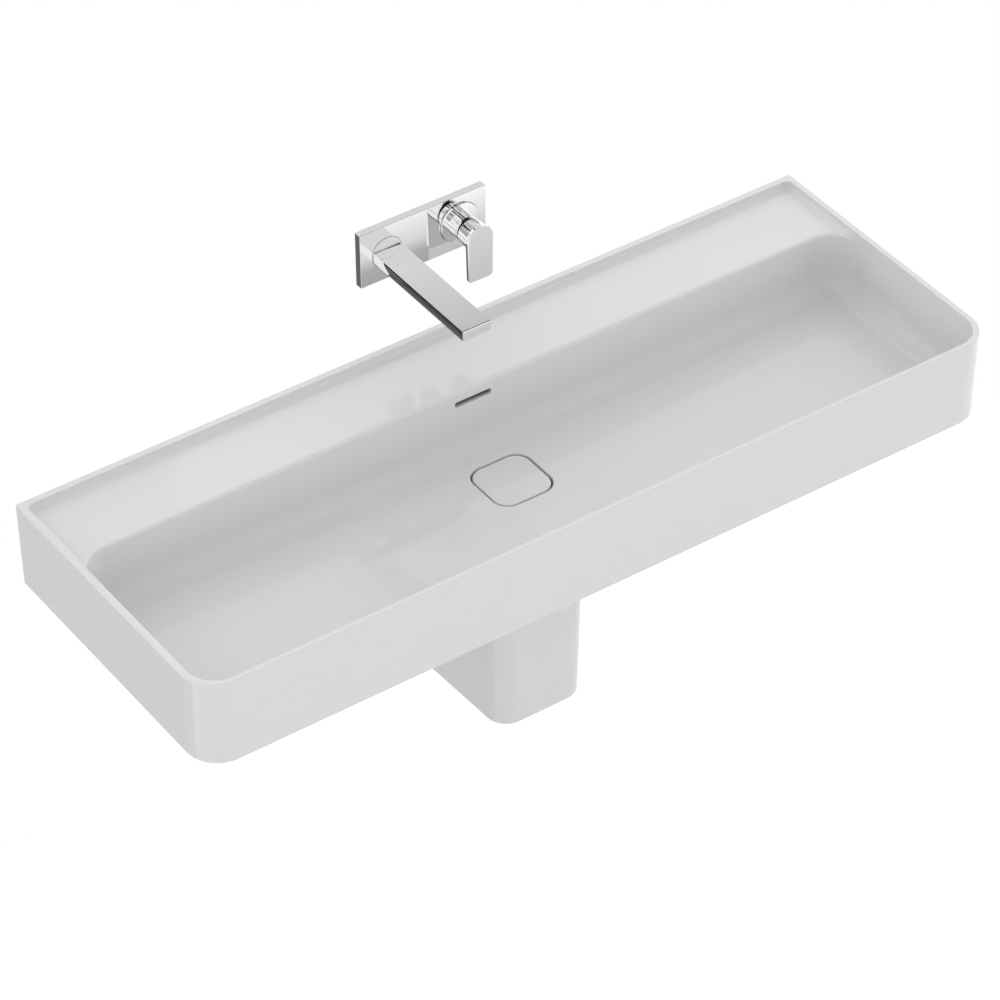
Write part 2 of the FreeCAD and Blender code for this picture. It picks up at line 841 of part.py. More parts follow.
def trap_outlet():
    """Outlet tube into the wall with its compression joint and wall rosette.

    A bead on the tube stops it at the wall face and sits in the rosette's back.
    """
    mouth = -drain_from_wall + bottle_radius + outlet_socket_length
    washer, nut = compression_joint(Vector(0, mouth, outlet_z), Y_AXIS)
    start = Vector(0, mouth - tube_entry, outlet_z)
    pipe = tube(tube_radius, tube_radius - tube_wall, outlet_pipe_in_wall - start.y, start, Y_AXIS)
    bead = tube(tube_radius + outlet_bead_height, tube_radius - tube_wall / 2, outlet_bead_width,
                Vector(0, -outlet_bead_width, outlet_z), Y_AXIS)
    rosette = Part.makeCone(tube_radius + socket_wall, rosette_radius, rosette_height,
                            Vector(0, -rosette_height, outlet_z), Y_AXIS)
    rosette = rosette.cut([
        cylinder(tube_radius + thread_gap, rosette_height + 2 * overrun,
                 Vector(0, -rosette_height - overrun, outlet_z), Y_AXIS),
        cylinder(tube_radius + outlet_bead_height + thread_gap, outlet_bead_width + running_gap,
                 Vector(0, -outlet_bead_width - running_gap, outlet_z), Y_AXIS),
    ])
    return {
        "trap_outlet_washer": washer,
        "trap_outlet_nut": nut,
        "trap_outlet_pipe": pipe.fuse(bead),
        "trap_wall_rosette": rosette,
    }


def trap_pieces():
    """The whole bottle trap."""
    washer, nut = compression_joint(drain_point(bottle_top + bottle_socket_height), Z_AXIS)
    pieces = {"trap_bottle": trap_bottle(), "trap_tube_washer": washer, "trap_tube_nut": nut}
    pieces.update(trap_inlet())
    pieces.update(trap_cup())
    pieces.update(trap_outlet())
    return pieces


def pedestal_outline(inset, flare, level):
    """Outline of the half pedestal at one level, moved inwards for its inner face."""
    start = 0 if inset == 0 else -overrun
    return outline(pedestal_bottom_half_back + flare - inset,
                   pedestal_bottom_half_front + flare - inset,
                   start, pedestal_bottom_reach + flare - inset,
                   0, pedestal_corner - inset, level)


def semi_pedestal():
    """Ceramic half pedestal, open behind, above and below, with two fixing ears."""
    outer = loft([
        pedestal_outline(0, pedestal_flare, pedestal_top),
        pedestal_outline(0, 0, pedestal_bottom),
    ])
    lean = pedestal_flare / pedestal_height * overrun
    inner = loft([
        pedestal_outline(pedestal_wall, pedestal_flare + lean, pedestal_top + overrun),
        pedestal_outline(pedestal_wall, -lean, pedestal_bottom - overrun),
    ])
    shell = outer.cut(inner)
    ear_top = pedestal_top - pedestal_ear_drop
    ears = []
    holes = []
    for side in (-1, 1):
        outer_x = side * (pedestal_bottom_half_back + pedestal_flare)
        inner_x = outer_x - side * (pedestal_wall + pedestal_ear_width + pedestal_flare)
        ears.append(block(sorted((outer_x, inner_x)), (-pedestal_ear_thickness, 0),
                          (ear_top - pedestal_ear_height, ear_top)).common(outer))
        holes.append(cylinder(pedestal_hole_radius, pedestal_ear_thickness + 2 * overrun,
                              Vector(side * pedestal_fixing_spacing / 2,
                                     -pedestal_ear_thickness - overrun,
                                     ear_top - pedestal_ear_height / 2), Y_AXIS))
    return shell.fuse(ears).cut(holes).removeSplitter()


def pedestal_fixings():
    """Hanger bolts, washers and nuts of the half pedestal, a pair of each."""
    bolts, washers, nuts = [], [], []
    level = pedestal_top - pedestal_ear_drop - pedestal_ear_height / 2
    washer_face = pedestal_ear_thickness + pedestal_washer_thickness
    nut_face = washer_face + pedestal_nut_height
    for x in along_x(pedestal_fixing_spacing):
        room_end = nut_face + pedestal_bolt_radius
        bolts.append(hanger_bolt(x, level, room_end, pedestal_bolt_radius, pedestal_screw_radius,
                                 pedestal_screw_length))
        washers.append(tube(pedestal_washer_radius, pedestal_bolt_radius + thread_gap,
                            pedestal_washer_thickness, Vector(x, -washer_face, level), Y_AXIS))
        nuts.append(hex_nut(pedestal_nut_flats, pedestal_bolt_radius, pedestal_nut_height,
                            Vector(x, -nut_face, level), Y_AXIS))
    return {
        "pedestal_hanger_bolts": group(bolts),
        "pedestal_washers": group(washers),
        "pedestal_nuts": group(nuts),
    }


def lever_point(distance, rise=0.0):
    """Point on the cartridge's axis, this far in front of the wall face."""
    return Vector(lever_x, -distance, mixer_z + rise)


def spout_point(distance, rise=0.0):
    """Point on the spout port's axis, this far in front of the wall face."""
    return Vector(spout_x, -distance, mixer_z + rise)


def mixer_body():
    """Brass body in the wall: cartridge chamber, two inlets, cross tube, spout port."""
    chamber = cylinder(chamber_radius, chamber_depth, lever_point(0), Y_AXIS)
    nose = cylinder(nose_radius, nose_reach + overrun, lever_point(nose_reach), Y_AXIS)
    cross = cylinder(cross_tube_radius, port_spacing, spout_point(-cross_tube_inset), X_AXIS)
    port = cylinder(spout_port_radius, chamber_depth, spout_point(0), Y_AXIS)
    bracket = block((-bracket_half_width, bracket_half_width),
                    (chamber_depth - bracket_thickness, chamber_depth),
                    (mixer_z - bracket_half_height, mixer_z + bracket_half_height))
    web = block((-bracket_half_width, bracket_half_width),
                (cross_tube_inset, chamber_depth - bracket_thickness),
                (mixer_z - cross_tube_radius / 2, mixer_z + cross_tube_radius / 2))
    solids = [nose, cross, port, bracket, web]
    way_y = cartridge_seat + 2 * waterway_radius
    cuts = [
        cylinder(cartridge_radius + thread_gap, nose_reach + cartridge_seat + overrun,
                 lever_point(nose_reach + overrun), Y_AXIS),
        cylinder(cartridge_nut_radius + thread_gap, nose_reach - cartridge_shoulder + overrun,
                 lever_point(nose_reach + overrun), Y_AXIS),
        cylinder(nipple_radius + thread_gap, nipple_in_port + overrun,
                 spout_point(overrun), Y_AXIS),
        cylinder(waterway_radius, port_spacing, spout_point(-cross_tube_inset), X_AXIS),
        cylinder(port_way_radius, cross_tube_inset + port_way_radius,
                 spout_point(0), Y_AXIS),
        cylinder(port_way_radius, cross_tube_inset - cartridge_seat + port_way_radius + overrun,
                 lever_point(-cartridge_seat + overrun), Y_AXIS),
    ]
    for side in (-1, 1):
        x = lever_x + side * inlet_spacing / 2
        stub_base = Vector(x, way_y, mixer_z - inlet_drop)
        solids.append(cylinder(inlet_radius, inlet_drop + inlet_head, stub_base, Z_AXIS))
        cuts.append(cylinder(inlet_thread_radius, inlet_thread_depth + overrun,
                             stub_base + DOWN * overrun, Z_AXIS))
        cuts.append(cylinder(waterway_radius, inlet_drop, stub_base, Z_AXIS))
        port_x = side * 2 * waterway_radius
        inner = Vector(lever_x + port_x, way_y, mixer_z)
        cuts.append(cylinder(feed_radius, abs(x - inner.x), inner, Vector(side, 0, 0)))
        cuts.append(cylinder(waterway_radius / 2, way_y - cartridge_seat + overrun,
                             inner - Y_AXIS * (way_y - cartridge_seat + overrun), Y_AXIS))
    for rise in (-bracket_hole_spacing / 2, bracket_hole_spacing / 2):
        cuts.append(cylinder(bracket_hole_radius, bracket_thickness + 2 * overrun,
                             Vector(0, chamber_depth - bracket_thickness - overrun,
                                    mixer_z + rise), Y_AXIS))
    return chamber.fuse(solids).cut(cuts)


seal_face = cartridge_seat - cartridge_seal_height
base_face = seal_face - cartridge_base
fixed_disc_face = base_face - disc_thickness
moving_disc_back = fixed_disc_face - running_gap
driver_back = moving_disc_back - disc_thickness
rotor_back = driver_back - disc_thickness - running_gap


def cartridge_housing():
    """Plastic case of the cartridge with the chamber for the discs and its neck."""
    case = cylinder(cartridge_radius, seal_face + cartridge_shoulder,
                    lever_point(cartridge_shoulder), Y_AXIS)
    neck = cylinder(cartridge_neck_radius, cartridge_neck_reach, lever_point(cartridge_neck_reach),
                    Y_AXIS)
    flange_room = rotor_back - rotor_flange_thickness - running_gap
    room = cylinder(disc_chamber_radius, base_face - flange_room,
                    lever_point(-flange_room), Y_AXIS)
    bore = cylinder(rotor_radius + sliding_gap, cartridge_neck_reach + base_face,
                    lever_point(cartridge_neck_reach + overrun), Y_AXIS)
    ports = []
    for side in (-1, 0, 1):
        ports.append(cylinder(waterway_radius / 2, cartridge_base + 2 * overrun,
                              Vector(lever_x + side * 2 * waterway_radius,
                                     base_face - overrun, mixer_z), Y_AXIS))
    return case.fuse(neck).cut([room, bore] + ports)


def cartridge_pieces():
    """Seal, discs, driver, rotor, pin and nut of the cartridge."""
    ports = []
    for side in (-1, 0, 1):
        ports.append(cylinder(waterway_radius / 2, chamber_depth,
                              Vector(lever_x + side * 2 * waterway_radius, 0, mixer_z), Y_AXIS))
    seal = cylinder(cartridge_radius, cartridge_seal_height, lever_point(-seal_face), Y_AXIS)
    fixed = cylinder(fixed_disc_radius, disc_thickness, lever_point(-fixed_disc_face), Y_AXIS)
    moving = cylinder(moving_disc_radius, disc_thickness, lever_point(-driver_back), Y_AXIS)
    hollow = cylinder(moving_disc_radius / 2, disc_thickness / 2,
                      lever_point(-moving_disc_back + disc_thickness / 2), Y_AXIS)
    plate = cylinder(driver_radius, disc_thickness, lever_point(-rotor_back - running_gap), Y_AXIS)
    tongue = block((lever_x - driver_half_width, lever_x + driver_half_width),
                   (-driver_reach, rotor_back + running_gap),
                   (mixer_z - driver_half_height, mixer_z + driver_half_height))
    pocket = cylinder(ball_radius + running_gap, driver_pocket_depth + overrun,
                      lever_point(driver_reach + overrun), Y_AXIS)
    nut = tube(cartridge_nut_radius, cartridge_neck_radius + thread_gap, cartridge_nut_height,
               lever_point(cartridge_shoulder + cartridge_nut_height), Y_AXIS)
    pin_half = driver_half_width + running_gap + fork_thickness
    pin = cylinder(pivot_pin_radius, 2 * pin_half,
                   Vector(lever_x - pin_half, -pivot_reach, mixer_z + pivot_rise), X_AXIS)
    return {
        "cartridge_seal": seal.cut(ports),
        "fixed_disc": fixed.cut(ports),
        "moving_disc": moving.cut(hollow),
        "disc_driver": plate.fuse(tongue).cut(pocket),
        "cartridge_nut": nut,
        "pivot_pin": pin,
        "cartridge_rotor": cartridge_rotor(),
    }


def cartridge_rotor():
    """Rotor that turns in the cartridge's neck, slotted for the driver, with its fork."""
    slot_half = driver_half_width + running_gap
    flange = cylinder(rotor_flange_radius, rotor_flange_thickness,
                      lever_point(-rotor_back + rotor_flange_thickness), Y_AXIS)
    drum = cylinder(rotor_radius, rotor_front + rotor_back, lever_point(rotor_front), Y_AXIS)
    slot = block((lever_x - slot_half, lever_x + slot_half),
                 (-rotor_front - overrun, rotor_back + overrun),
                 (mixer_z - rotor_slot_half_height, mixer_z + rotor_slot_half_height))
    shape = flange.fuse(drum).cut(slot)
    cheeks = []
    for side in (-1, 1):
        inner = lever_x + side * slot_half
        outer = inner + side * fork_thickness
        cheeks.append(block(sorted((inner, outer)), (-fork_reach, -rotor_front + overrun),
                            (mixer_z - fork_bottom, mixer_z + fork_top)))
    trim = cylinder(sleeve_lip_radius - overrun, fork_reach, lever_point(fork_reach), Y_AXIS)
    hole = cylinder(pivot_pin_radius, 2 * rotor_radius,
                    Vector(lever_x - rotor_radius, -pivot_reach, mixer_z + pivot_rise), X_AXIS)
    return shape.fuse([cheek.common(trim) for cheek in cheeks]).cut(hole)


def lever_stem():
    """Stem that tilts on the pin: square nose for the lever, arm and ball for the driver."""
    half = stem_half - sliding_gap
    pin_point = Vector(lever_x - half, -pivot_reach, mixer_z + pivot_rise)
    eye = cylinder(stem_eye_radius, 2 * half, pin_point, X_AXIS)
    shank_back = pivot_reach - stem_eye_radius
    shank = block((lever_x - half, lever_x + half), (-stem_reach, -shank_back),
                  (mixer_z - stem_half, mixer_z + stem_half))
    cheek = block((lever_x - half, lever_x + half), (-pivot_reach - stem_eye_radius, -shank_back),
                  (mixer_z, mixer_z + pivot_rise))
    arm = cylinder(stem_arm_radius, shank_back - ball_reach, lever_point(shank_back), Y_AXIS)
    ball = Part.makeSphere(ball_radius, lever_point(ball_reach))
    hole = cylinder(pivot_pin_radius + sliding_gap / 2, 2 * rotor_radius,
                    pin_point - X_AXIS * overrun, X_AXIS)
    return shank.fuse([eye, cheek, arm, ball]).cut(hole)


def handle_sleeve():
    """Sleeve over the body's nose with the round escutcheon that clamps the plate."""
    flange = cylinder(escutcheon_radius, escutcheon_thickness,
                      lever_point(plate_front + escutcheon_thickness), Y_AXIS)
    barrel = cylinder(sleeve_radius, sleeve_front - plate_front, lever_point(sleeve_front), Y_AXIS)
    bore_front = sleeve_front - sleeve_lip
    bore = cylinder(nose_radius + thread_gap, bore_front - plate_front + overrun,
                    lever_point(bore_front), Y_AXIS)
    mouth = cylinder(sleeve_lip_radius, sleeve_front, lever_point(sleeve_front + overrun), Y_AXIS)
    return flange.fuse(barrel).cut([bore, mouth])


def paddle_outline(distance):
    """Outline of the lever's front plate: round on top, tapering to its foot."""
    foot = mixer_z - lever_drop
    low = foot + lever_corner
    side = lever_bottom_half - lever_corner
    y = -distance
    top_left = Vector(lever_x - lever_top_radius, y, mixer_z)
    top_right = Vector(lever_x + lever_top_radius, y, mixer_z)
    crown = Vector(lever_x, y, mixer_z + lever_top_radius)
    bend = lever_corner * math.sqrt(0.5)
    right_low = Vector(lever_x + lever_bottom_half, y, low)
    left_low = Vector(lever_x - lever_bottom_half, y, low)
    right_foot = Vector(lever_x + side, y, foot)
    left_foot = Vector(lever_x - side, y, foot)
    right_mid = Vector(lever_x + side + bend, y, low - bend)
    left_mid = Vector(lever_x - side - bend, y, low - bend)
    return Part.Wire([
        Part.Arc(top_left, crown, top_right).toShape(),
        Part.LineSegment(top_right, right_low).toShape(),
        Part.Arc(right_low, right_mid, right_foot).toShape(),
        Part.LineSegment(right_foot, left_foot).toShape(),
        Part.Arc(left_foot, left_mid, left_low).toShape(),
        Part.LineSegment(left_low, top_left).toShape(),
    ])


def lever_pieces():
    """Lever with its round head and flat paddle, its set screw and the screw's cap."""
    back_bottom = sleeve_front + lever_gap_bottom
    back_top = sleeve_front + lever_gap_top
    paddle_back = lever_front - paddle_thickness
    paddle = Part.Face(paddle_outline(paddle_back)).extrude(ROOM * paddle_thickness)
    head = Part.makeCone(lever_top_radius, sleeve_radius, paddle_back - sleeve_front,
                         lever_point(paddle_back), Y_AXIS)
    cavity = cylinder(lever_cavity_radius, lever_cavity_front - sleeve_front + overrun,
                      lever_point(lever_cavity_front), Y_AXIS)
    reach = 2 * lever_top_radius
    low_z = mixer_z - sleeve_radius
    high_z = mixer_z + sleeve_radius
    slope = (back_top - back_bottom) / (high_z - low_z)
    wedge_points = [
        Vector(lever_x - reach, 0, low_z - reach),
        Vector(lever_x - reach, -back_bottom + slope * reach, low_z - reach),
        Vector(lever_x - reach, -back_top - slope * reach, high_z + reach),
        Vector(lever_x - reach, 0, high_z + reach),
    ]
    wedge = Part.Face(Part.makePolygon(wedge_points + wedge_points[:1]))
    wedge = wedge.extrude(X_AXIS * (2 * reach))
    hub = cylinder(lever_hub_radius, lever_cavity_front - lever_hub_back + overrun,
                   lever_point(lever_cavity_front + overrun), Y_AXIS)
    socket = block((lever_x - stem_half, lever_x + stem_half), (-stem_reach, -lever_hub_back + overrun),
                   (mixer_z - stem_half, mixer_z + stem_half))
    screw_top = mixer_z - stem_half
    screw_length = sleeve_radius - stem_half - 2 * lever_plug_length
    way = cylinder(lever_screw_radius, lever_drop, Vector(lever_x, -lever_screw_reach, screw_top),
                   DOWN)
    plug_top = screw_top - screw_length - lever_plug_length
    seat = cylinder(lever_plug_radius, lever_drop, Vector(lever_x, -lever_screw_reach, plug_top),
                    DOWN)
    boss = cylinder(lever_screw_radius + lever_plug_length, sleeve_radius,
                    Vector(lever_x, -lever_screw_reach, mixer_z), DOWN)
    shell = head.cut(cavity).fuse([hub, boss]).cut(wedge)
    shell = shell.common(head).fuse(paddle).cut([socket, way, seat])
    screw = cylinder(lever_screw_radius, screw_length, Vector(lever_x, -lever_screw_reach, screw_top),
                     DOWN)
    cap = cylinder(lever_plug_radius, lever_plug_length,
                   Vector(lever_x, -lever_screw_reach, plug_top), DOWN)
    return {"lever": shell.removeSplitter(), "lever_screw": screw, "lever_screw_cap": cap}


def mixer_plate():
    """Wall plate, hollow behind, with a hole for each port."""
    half = plate_width / 2
    half_height = plate_height / 2
    outer = block((-half, half), (-plate_front, -plate_gasket_depth),
                  (mixer_z - half_height, mixer_z + half_height))
    inner = block((-half + plate_wall, half - plate_wall),
                  (-plate_front + plate_wall, -plate_gasket_depth + overrun),
                  (mixer_z - half_height + plate_wall, mixer_z + half_height - plate_wall))
    spout_hole = cylinder(spout_root_radius + 2 * sliding_gap, plate_front,
                          spout_point(plate_front + overrun), Y_AXIS)
    nose_hole = cylinder(nose_radius + 2 * sliding_gap, plate_front,
                         lever_point(plate_front + overrun), Y_AXIS)
    screw_way = cylinder(spout_screw_radius + 2 * sliding_gap, plate_height / 2 + overrun,
                         spout_point(spout_socket_depth - spout_root_back - spout_screw_radius),
                         DOWN)
    return outer.cut([inner, spout_hole, nose_hole, screw_way])


def plate_gasket():
    """Foam frame between the plate and the wall."""
    half = plate_width / 2 - gasket_inset
    half_height = plate_height / 2 - gasket_inset
    outer = block((-half, half), (-plate_gasket_depth, 0),
                  (mixer_z - half_height, mixer_z + half_height))
    inner = block((-half + gasket_width, half - gasket_width),
                  (-plate_gasket_depth - overrun, overrun),
                  (mixer_z - half_height + gasket_width, mixer_z + half_height - gasket_width))
    return outer.cut(inner)


def spout_section(distance, radius):
    """Section of the spout across its length; the lower corners take the given radius."""
    y = -distance
    top = mixer_z + spout_top_rise
    bottom = top - spout_thickness
    left = spout_x - spout_half_width
    right = spout_x + spout_half_width
    bend = radius * math.sqrt(0.5)
    return Part.Wire([
        Part.LineSegment(Vector(left, y, top), Vector(right, y, top)).toShape(),
        Part.LineSegment(Vector(right, y, top), Vector(right, y, bottom + radius)).toShape(),
        Part.Arc(Vector(right, y, bottom + radius),
                 Vector(right - radius + bend, y, bottom + radius - bend),
                 Vector(right - radius, y, bottom)).toShape(),
        Part.LineSegment(Vector(right - radius, y, bottom),
                         Vector(left + radius, y, bottom)).toShape(),
        Part.Arc(Vector(left + radius, y, bottom),
                 Vector(left + radius - bend, y, bottom + radius - bend),
                 Vector(left, y, bottom + radius)).toShape(),
        Part.LineSegment(Vector(left, y, bottom + radius), Vector(left, y, top)).toShape(),
    ])


def spout():
    """Spout: round root in the plate, blending into a flat bar, hollow for the water."""
    root_front = plate_front + spout_root_proud
    root = cylinder(spout_root_radius, root_front - spout_root_back, spout_point(root_front), Y_AXIS)
    bar = Part.Face(spout_section(plate_front, spout_edge_round))
    bar = bar.extrude(ROOM * (spout_reach - plate_front))
    blend_end = root_front + spout_blend
    blend = Part.makeCone(spout_root_radius, spout_thickness - spout_top_rise, spout_blend,
                          spout_point(root_front), ROOM)
    blend_room = block((spout_x - spout_root_radius, spout_x + spout_root_radius),
                       (-blend_end, -root_front),
                       (mixer_z - spout_root_radius, mixer_z + spout_top_rise))
    top = mixer_z + spout_top_rise
    middle = top - spout_thickness / 2
    way_front = spout_reach - spout_way_end
    way = block((spout_x - spout_way_half_width, spout_x + spout_way_half_width),
                (-way_front, -spout_root_back - spout_socket_depth + overrun),
                (middle - spout_way_height / 2, middle + spout_way_height / 2))
    socket = cylinder(nipple_radius + thread_gap, spout_socket_depth + overrun,
                      spout_point(spout_root_back + spout_socket_depth), Y_AXIS)
    outlet_y = spout_reach - aerator_from_tip
    bottom = top - spout_thickness
    outlet = cylinder(aerator_radius, aerator_height + aerator_flange + overrun,
                      Vector(spout_x, -outlet_y, bottom - overrun), Z_AXIS)
    throat = cylinder(aerator_bore, middle - bottom, Vector(spout_x, -outlet_y, bottom), Z_AXIS)
    screw_way = cylinder(spout_screw_radius, spout_root_radius,
                         spout_point(spout_socket_depth - spout_root_back - spout_screw_radius,
                                     -nipple_radius), DOWN)
    shape = root.fuse([bar, blend.common(blend_room)])
    return shape.cut([way, socket, outlet, throat, screw_way]).removeSplitter()


def spout_pieces():
    """Nipple, its O-ring, the set screw and the aerator of the spout."""
    nipple = tube(nipple_radius, nipple_bore, nipple_reach + nipple_in_port,
                  spout_point(nipple_reach), Y_AXIS)
    screw_length = spout_root_radius - nipple_radius - overrun
    screw = cylinder(spout_screw_radius, screw_length,
                     spout_point(spout_socket_depth - spout_root_back - spout_screw_radius,
                                 -nipple_radius), DOWN)
    outlet_y = spout_reach - aerator_from_tip
    bottom = mixer_z + spout_top_rise - spout_thickness
    under = Vector(spout_x, -outlet_y, bottom - aerator_flange)
    housing = cylinder(aerator_radius - sliding_gap, aerator_height + aerator_flange, under, Z_AXIS)
    flange = cylinder(aerator_flange_radius, aerator_flange, under, Z_AXIS)
    bore = cylinder(aerator_bore, aerator_height + 2 * aerator_flange + overrun,
                    under + DOWN * overrun, Z_AXIS)
    insert_base = under + Z_AXIS * aerator_flange
    insert = cylinder(aerator_bore, aerator_height - aerator_flange, insert_base, Z_AXIS)
    holes = []
    for ring, count in ((0, 1), (1, 6), (2, 12)):
        for step in range(count):
            angle = 2 * math.pi * step / count
            place = Vector(math.cos(angle), math.sin(angle), 0) * (ring * aerator_bore / 3)
            holes.append(cylinder(aerator_bore / 9, aerator_height, insert_base + place
                                  + DOWN * overrun, Z_AXIS))
    seal = tube(aerator_radius - sliding_gap, aerator_bore, aerator_seal_height,
                Vector(spout_x, -outlet_y, bottom + aerator_height), Z_AXIS)
    return {
        "spout_nipple": nipple,
        "spout_set_screw": screw,
        "aerator_housing": housing.fuse(flange).cut(bore),
        "aerator_insert": insert.cut(holes),
        "aerator_seal": seal,
    }


def all_pieces():
    """Every node of the object by its name."""
    pieces = {"basin_body": basin_body()}
    pieces.update(basin_fixings())
    pieces["waste_body"] = waste_body()
    pieces.update(waste_washers())
    pieces["waste_cover"] = waste_cover()
    pieces.update(plug_pieces())
    pieces["clicker_housing"] = clicker_housing()
    pieces["clicker_spring"] = clicker_spring()
    pieces.update(trap_pieces())
    pieces["semi_pedestal"] = semi_pedestal()
    pieces.update(pedestal_fixings())
    pieces["mixer_body"] = mixer_body()
    pieces["cartridge_housing"] = cartridge_housing()
    pieces.update(cartridge_pieces())
    pieces["lever_stem"] = lever_stem()
    pieces["handle_sleeve"] = handle_sleeve()
    pieces.update(lever_pieces())
    pieces["mixer_plate"] = mixer_plate()
    pieces["plate_gasket"] = plate_gasket()
    pieces["spout"] = spout()
    pieces.update(spout_pieces())
    return pieces


for name, shape in all_pieces().items():
    print(name, len(shape.Solids), round(shape.Volume), shape.isValid())
    shape.exportStep("parts/" + name + ".step")
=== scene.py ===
"""Looks of a wall-hung washbasin with its half pedestal and wall-mounted mixer.

Everything is in metres, in the part's own frame: +Z is up, the wall face is Y = 0 and
the room is at -Y. Each class below builds one sub-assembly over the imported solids.
"""

import json
import logging
import math
from collections.abc import Callable, Iterable, Mapping, Sequence
from dataclasses import dataclass
from enum import Enum
from functools import cache
from typing import NamedTuple

import bmesh
import bpy
from mathutils import Matrix, Vector


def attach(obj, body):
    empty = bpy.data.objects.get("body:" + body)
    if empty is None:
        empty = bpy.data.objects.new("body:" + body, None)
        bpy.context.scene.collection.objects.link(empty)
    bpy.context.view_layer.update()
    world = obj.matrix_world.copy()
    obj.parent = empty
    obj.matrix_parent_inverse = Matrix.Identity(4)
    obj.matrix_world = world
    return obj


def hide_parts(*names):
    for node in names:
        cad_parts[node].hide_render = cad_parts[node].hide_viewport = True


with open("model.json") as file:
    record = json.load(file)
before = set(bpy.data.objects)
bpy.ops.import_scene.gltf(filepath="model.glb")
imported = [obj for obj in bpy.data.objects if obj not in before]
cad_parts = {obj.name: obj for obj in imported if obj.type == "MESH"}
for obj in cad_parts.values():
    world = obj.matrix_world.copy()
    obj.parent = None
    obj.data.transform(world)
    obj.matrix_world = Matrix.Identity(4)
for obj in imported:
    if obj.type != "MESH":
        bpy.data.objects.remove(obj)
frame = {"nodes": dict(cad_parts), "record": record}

Span = tuple[float, float]
Point = tuple[float, float, float]
Mesh = bmesh.types.BMesh
Edge = bmesh.types.BMEdge
Piece = bpy.types.Object
Node = bpy.types.Node
Socket = bpy.types.NodeSocket
Inputs = Mapping[str | int, float | Sequence[float] | Socket]
EndsTest = Callable[[Vector, Vector], bool]

LOG = logging.getLogger("washbasin")

# Distances below which two places count as one, before and after a boolean step
HAIR = 1e-5
LOOSE = 1e-4

# Distances below which two vertices are merged, before and after a boolean step
MERGE = 1e-7
MERGE_AFTER = 1e-6

# How much more than small faces the large ones weigh in the shading, out of 100
FLAT_WEIGHT = 90

QUARTER_TURN = math.pi / 2
UP = (0, 0, 1)
SIDEWAYS = (1, 0, 0)
INTO_WALL = (0, 1, 0)
INTO_ROOM = (0, -1, 0)
WHITE = (1.0, 1.0, 1.0, 1.0)


class Join(Enum):
    """How a tool body changes the body that it meets."""

    CUT = "DIFFERENCE"
    ADD = "UNION"


class Body(Enum):
    """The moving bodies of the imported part."""

    FIXED = "fixed_parts"
    LEVER = "lever_assembly"
    PLUG = "plug"


class Round(NamedTuple):
    """A rounded edge: how far the round reaches and how many facets cross it."""

    reach: float
    facets: int


# Shader nodes, shared effects and finishes


class NodeBoard:
    """Places nodes in one node tree and feeds their inputs."""

    def __init__(self, tree: bpy.types.NodeTree) -> None:
        """Work on a tree."""
        self.tree = tree

    def feed(self, node: Node, inputs: Inputs) -> None:
        """Feed inputs of a node.

        Args:
            node: The node.
            inputs: By name or number, a constant or the output that leads to the input.
        """
        for key, value in inputs.items():
            if isinstance(value, bpy.types.NodeSocket):
                self.tree.links.new(value, node.inputs[key])
            else:
                node.inputs[key].default_value = value

    def add(self, kind: str, inputs: Inputs | None = None) -> Node:
        """Place a node.

        Args:
            kind: Its type, without the leading ShaderNode.
            inputs: What its inputs are fed with.

        Returns:
            The node.
        """
        node = self.tree.nodes.new("ShaderNode" + kind)
        self.feed(node, inputs or {})
        return node

    def out(self, kind: str, inputs: Inputs | None = None) -> Socket:
        """Place a node and take its first output."""
        return self.add(kind, inputs).outputs[0]

    def math(self, operation: str, *values: float | Socket) -> Socket:
        """Place a Math node and take its result."""
        node = self.add("Math", dict(enumerate(values)))
        node.operation = operation
        return node.outputs[0]

    def mix(self, share: Socket, first: Socket, second: Socket) -> Socket:
        """Mix two shaders: all of the second where the share is one."""
        return self.out("MixShader", {0: share, 1: first, 2: second})


class EffectGroup(NodeBoard):
    """A shader node group that several materials share."""

    def __init__(self, name: str, inputs: Iterable[str], outputs: Iterable[str]) -> None:
        """Start the group.

        Args:
            name: The group's name.
            inputs: Its inputs. A name's last word tells a colour or a vector from a number.
            outputs: Its outputs, named in the same way.
        """
        super().__init__(bpy.data.node_groups.new(name, "ShaderNodeTree"))
        for side, labels in (("INPUT", inputs), ("OUTPUT", outputs)):
            for label in labels:
                word = label.split()[-1]
                kind = "NodeSocket" + (word if word in ("Color", "Vector") else "Float")
                self.tree.interface.new_socket(label, in_out=side, socket_type=kind)
        self.given = self.tree.nodes.new("NodeGroupInput").outputs
        self.results = self.tree.nodes.new("NodeGroupOutput")


@cache
def uneven_surface() -> bpy.types.NodeTree:
    """Slow changes of colour and gloss with a faint swell of the surface.

    Returns:
        The group. Its outputs are Color, Roughness and Height.
    """
    group = EffectGroup("uneven_surface", ("Vector", "Light Color", "Dark Color", "Scale",
                                           "Least Roughness", "Most Roughness"),
                        ("Color", "Roughness", "Height"))
    given = group.given
    slow = group.out("TexNoise", {"Vector": given["Vector"], "Scale": given["Scale"],
                                  "Detail": 3.0})
    quick = group.out("TexNoise", {"Vector": given["Vector"], "Detail": 5.0,
                                   "Scale": group.math("MULTIPLY", given["Scale"], 4.3)})
    blend = group.add("Mix")
    blend.data_type = "RGBA"
    group.feed(blend, {"Factor": slow, "A": given["Light Color"], "B": given["Dark Color"]})
    gloss = group.out("MapRange", {"Value": quick, "From Min": 0.3, "From Max": 0.7,
                                   "To Min": given["Least Roughness"],
                                   "To Max": given["Most Roughness"]})
    group.feed(group.results, {"Color": blend.outputs["Result"], "Roughness": gloss,
                               "Height": slow})
    return group.tree


